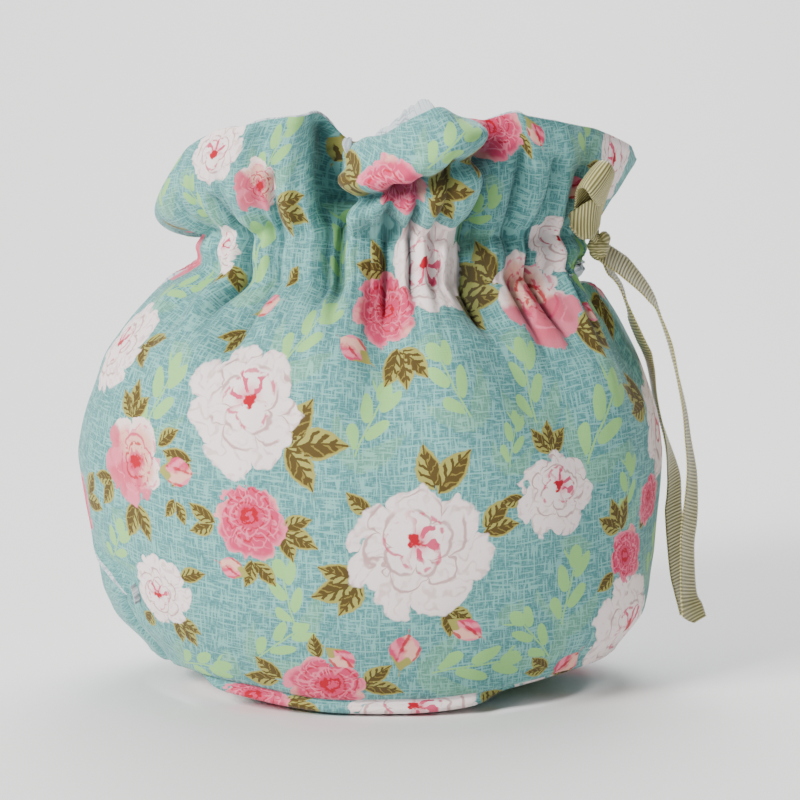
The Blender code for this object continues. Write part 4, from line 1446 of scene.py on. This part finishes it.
# %% Make the base
BASE_SIDES = 240
LINING_RING = 18
BASE_PROFILE = (
    (0.012, 0.0), (0.15, 0.0), (0.30, 0.0), (0.45, 0.0), (0.56, 0.0), (0.66, 0.05), (0.75, 0.10),
    (0.82, 0.20), (0.88, 0.38), (0.92, 0.60), (0.95, 0.92), (0.972, 1.35), (0.988, 1.9), (0.996, 2.5),
    (0.998, 3.1), (0.995, 3.7), (0.985, 4.3), (0.968, 4.8), (0.945, 5.1), (0.91, 5.3), (0.86, 5.42),
    (0.80, 5.5), (0.70, 5.5), (0.56, 5.5), (0.42, 5.5), (0.28, 5.5), (0.14, 5.5), (0.012, 5.5),
)
angle = np.linspace(-180.0, 180.0, BASE_SIDES + 1)
rim = plan_point(angle, np.full_like(angle, SEAM))
rim = rim * (1.0 - 0.13 * hem_side(angle))[:, None]
share = np.array([row[0] for row in BASE_PROFILE])[:, None]
level = np.array([row[1] for row in BASE_PROFILE])[:, None]
turned = smooth((share - 0.56) / 0.44)
points = np.stack([rim[None, :, 0] * share, rim[None, :, 1] * share,
                   base_lift(angle)[None, :] * turned + level], axis=-1)
points[:, -1] = points[:, 0]
faces = grid_faces(len(BASE_PROFILE), BASE_SIDES + 1)
inside = np.repeat(np.arange(len(BASE_PROFILE) - 1) > LINING_RING, BASE_SIDES)
flat = np.stack([points[..., 0], points[..., 1] - 30.0 + level * 1.5], axis=-1).reshape(-1, 2)
base = add_piece("fine_base_panel", points.reshape(-1, 3), faces, [printed_cotton, lining], inside, flat)
stamp_print(base, flat)
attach(base, "root")
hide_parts("base_panel")
print("base", len(faces), "faces")

# %% [markdown]
# Floor and light
#
# A pale floor that sweeps up behind gives a plain studio background. A large soft lamp stands
# high on the left and in front, as a window would, with a weak one on the right to keep the
# shaded side readable. Another is aimed at the backdrop, and one more stands behind.

# %% Set the stage
FLOOR_WIDTH = 6.0
SWEEP_START = 0.9
SWEEP_RADIUS = 0.8
SWEEP_TOP = 2.4
FLOOR_FRONT = -3.0
LAMPS = (
    ("key", (-1.15, -1.25, 0.95), (0.0, 0.0, 0.09), 0.55, 62.0, (1.0, 0.985, 0.96)),
    ("fill", (1.2, -1.2, 0.6), (0.0, 0.0, 0.09), 1.0, 2.0, (0.95, 0.97, 1.0)),
    ("back", (0.2, 1.0, 1.6), (0.0, 0.0, 0.09), 0.9, 18.0, (1.0, 1.0, 1.0)),
    ("backdrop", (0.0, 0.7, 1.9), (0.0, 1.4, 0.2), 1.6, 34.0, (1.0, 1.0, 1.0)),
)

floor_material, tree, shader = new_material("pale_floor", 0.9, 0.0)
shader.inputs["Base Color"].default_value = (*tone(242, 242, 242), 1.0)
outline = [(FLOOR_FRONT, 0.0), (SWEEP_START, 0.0)]
for step in range(1, 13):
    bend = math.pi / 2 * step / 12
    outline.append((SWEEP_START + SWEEP_RADIUS * math.sin(bend), SWEEP_RADIUS * (1 - math.cos(bend))))
outline.append((SWEEP_START + SWEEP_RADIUS, SWEEP_TOP))
points = [(side * FLOOR_WIDTH / 2 / MM, y / MM, z / MM) for y, z in outline for side in (-1, 1)]
floor = add_piece("floor", points, grid_faces(len(outline), 2), [floor_material])

for name, place, aim, size, power, colour in LAMPS:
    lamp_data = bpy.data.lights.new(name, "AREA")
    lamp_data.size = size
    lamp_data.energy = power
    lamp_data.color = colour
    lamp = bpy.data.objects.new(name, lamp_data)
    lamp.location = place
    lamp.rotation_euler = (Vector(aim) - Vector(place)).to_track_quat("-Z", "Y").to_euler()
    bpy.context.scene.collection.objects.link(lamp)

world = bpy.data.worlds.new("world")
world.use_nodes = True
world.node_tree.nodes["Background"].inputs["Color"].default_value = (0.95, 0.97, 1.0, 1.0)
world.node_tree.nodes["Background"].inputs["Strength"].default_value = 0.12
bpy.context.scene.world = world
print(len(LAMPS), "lamps")
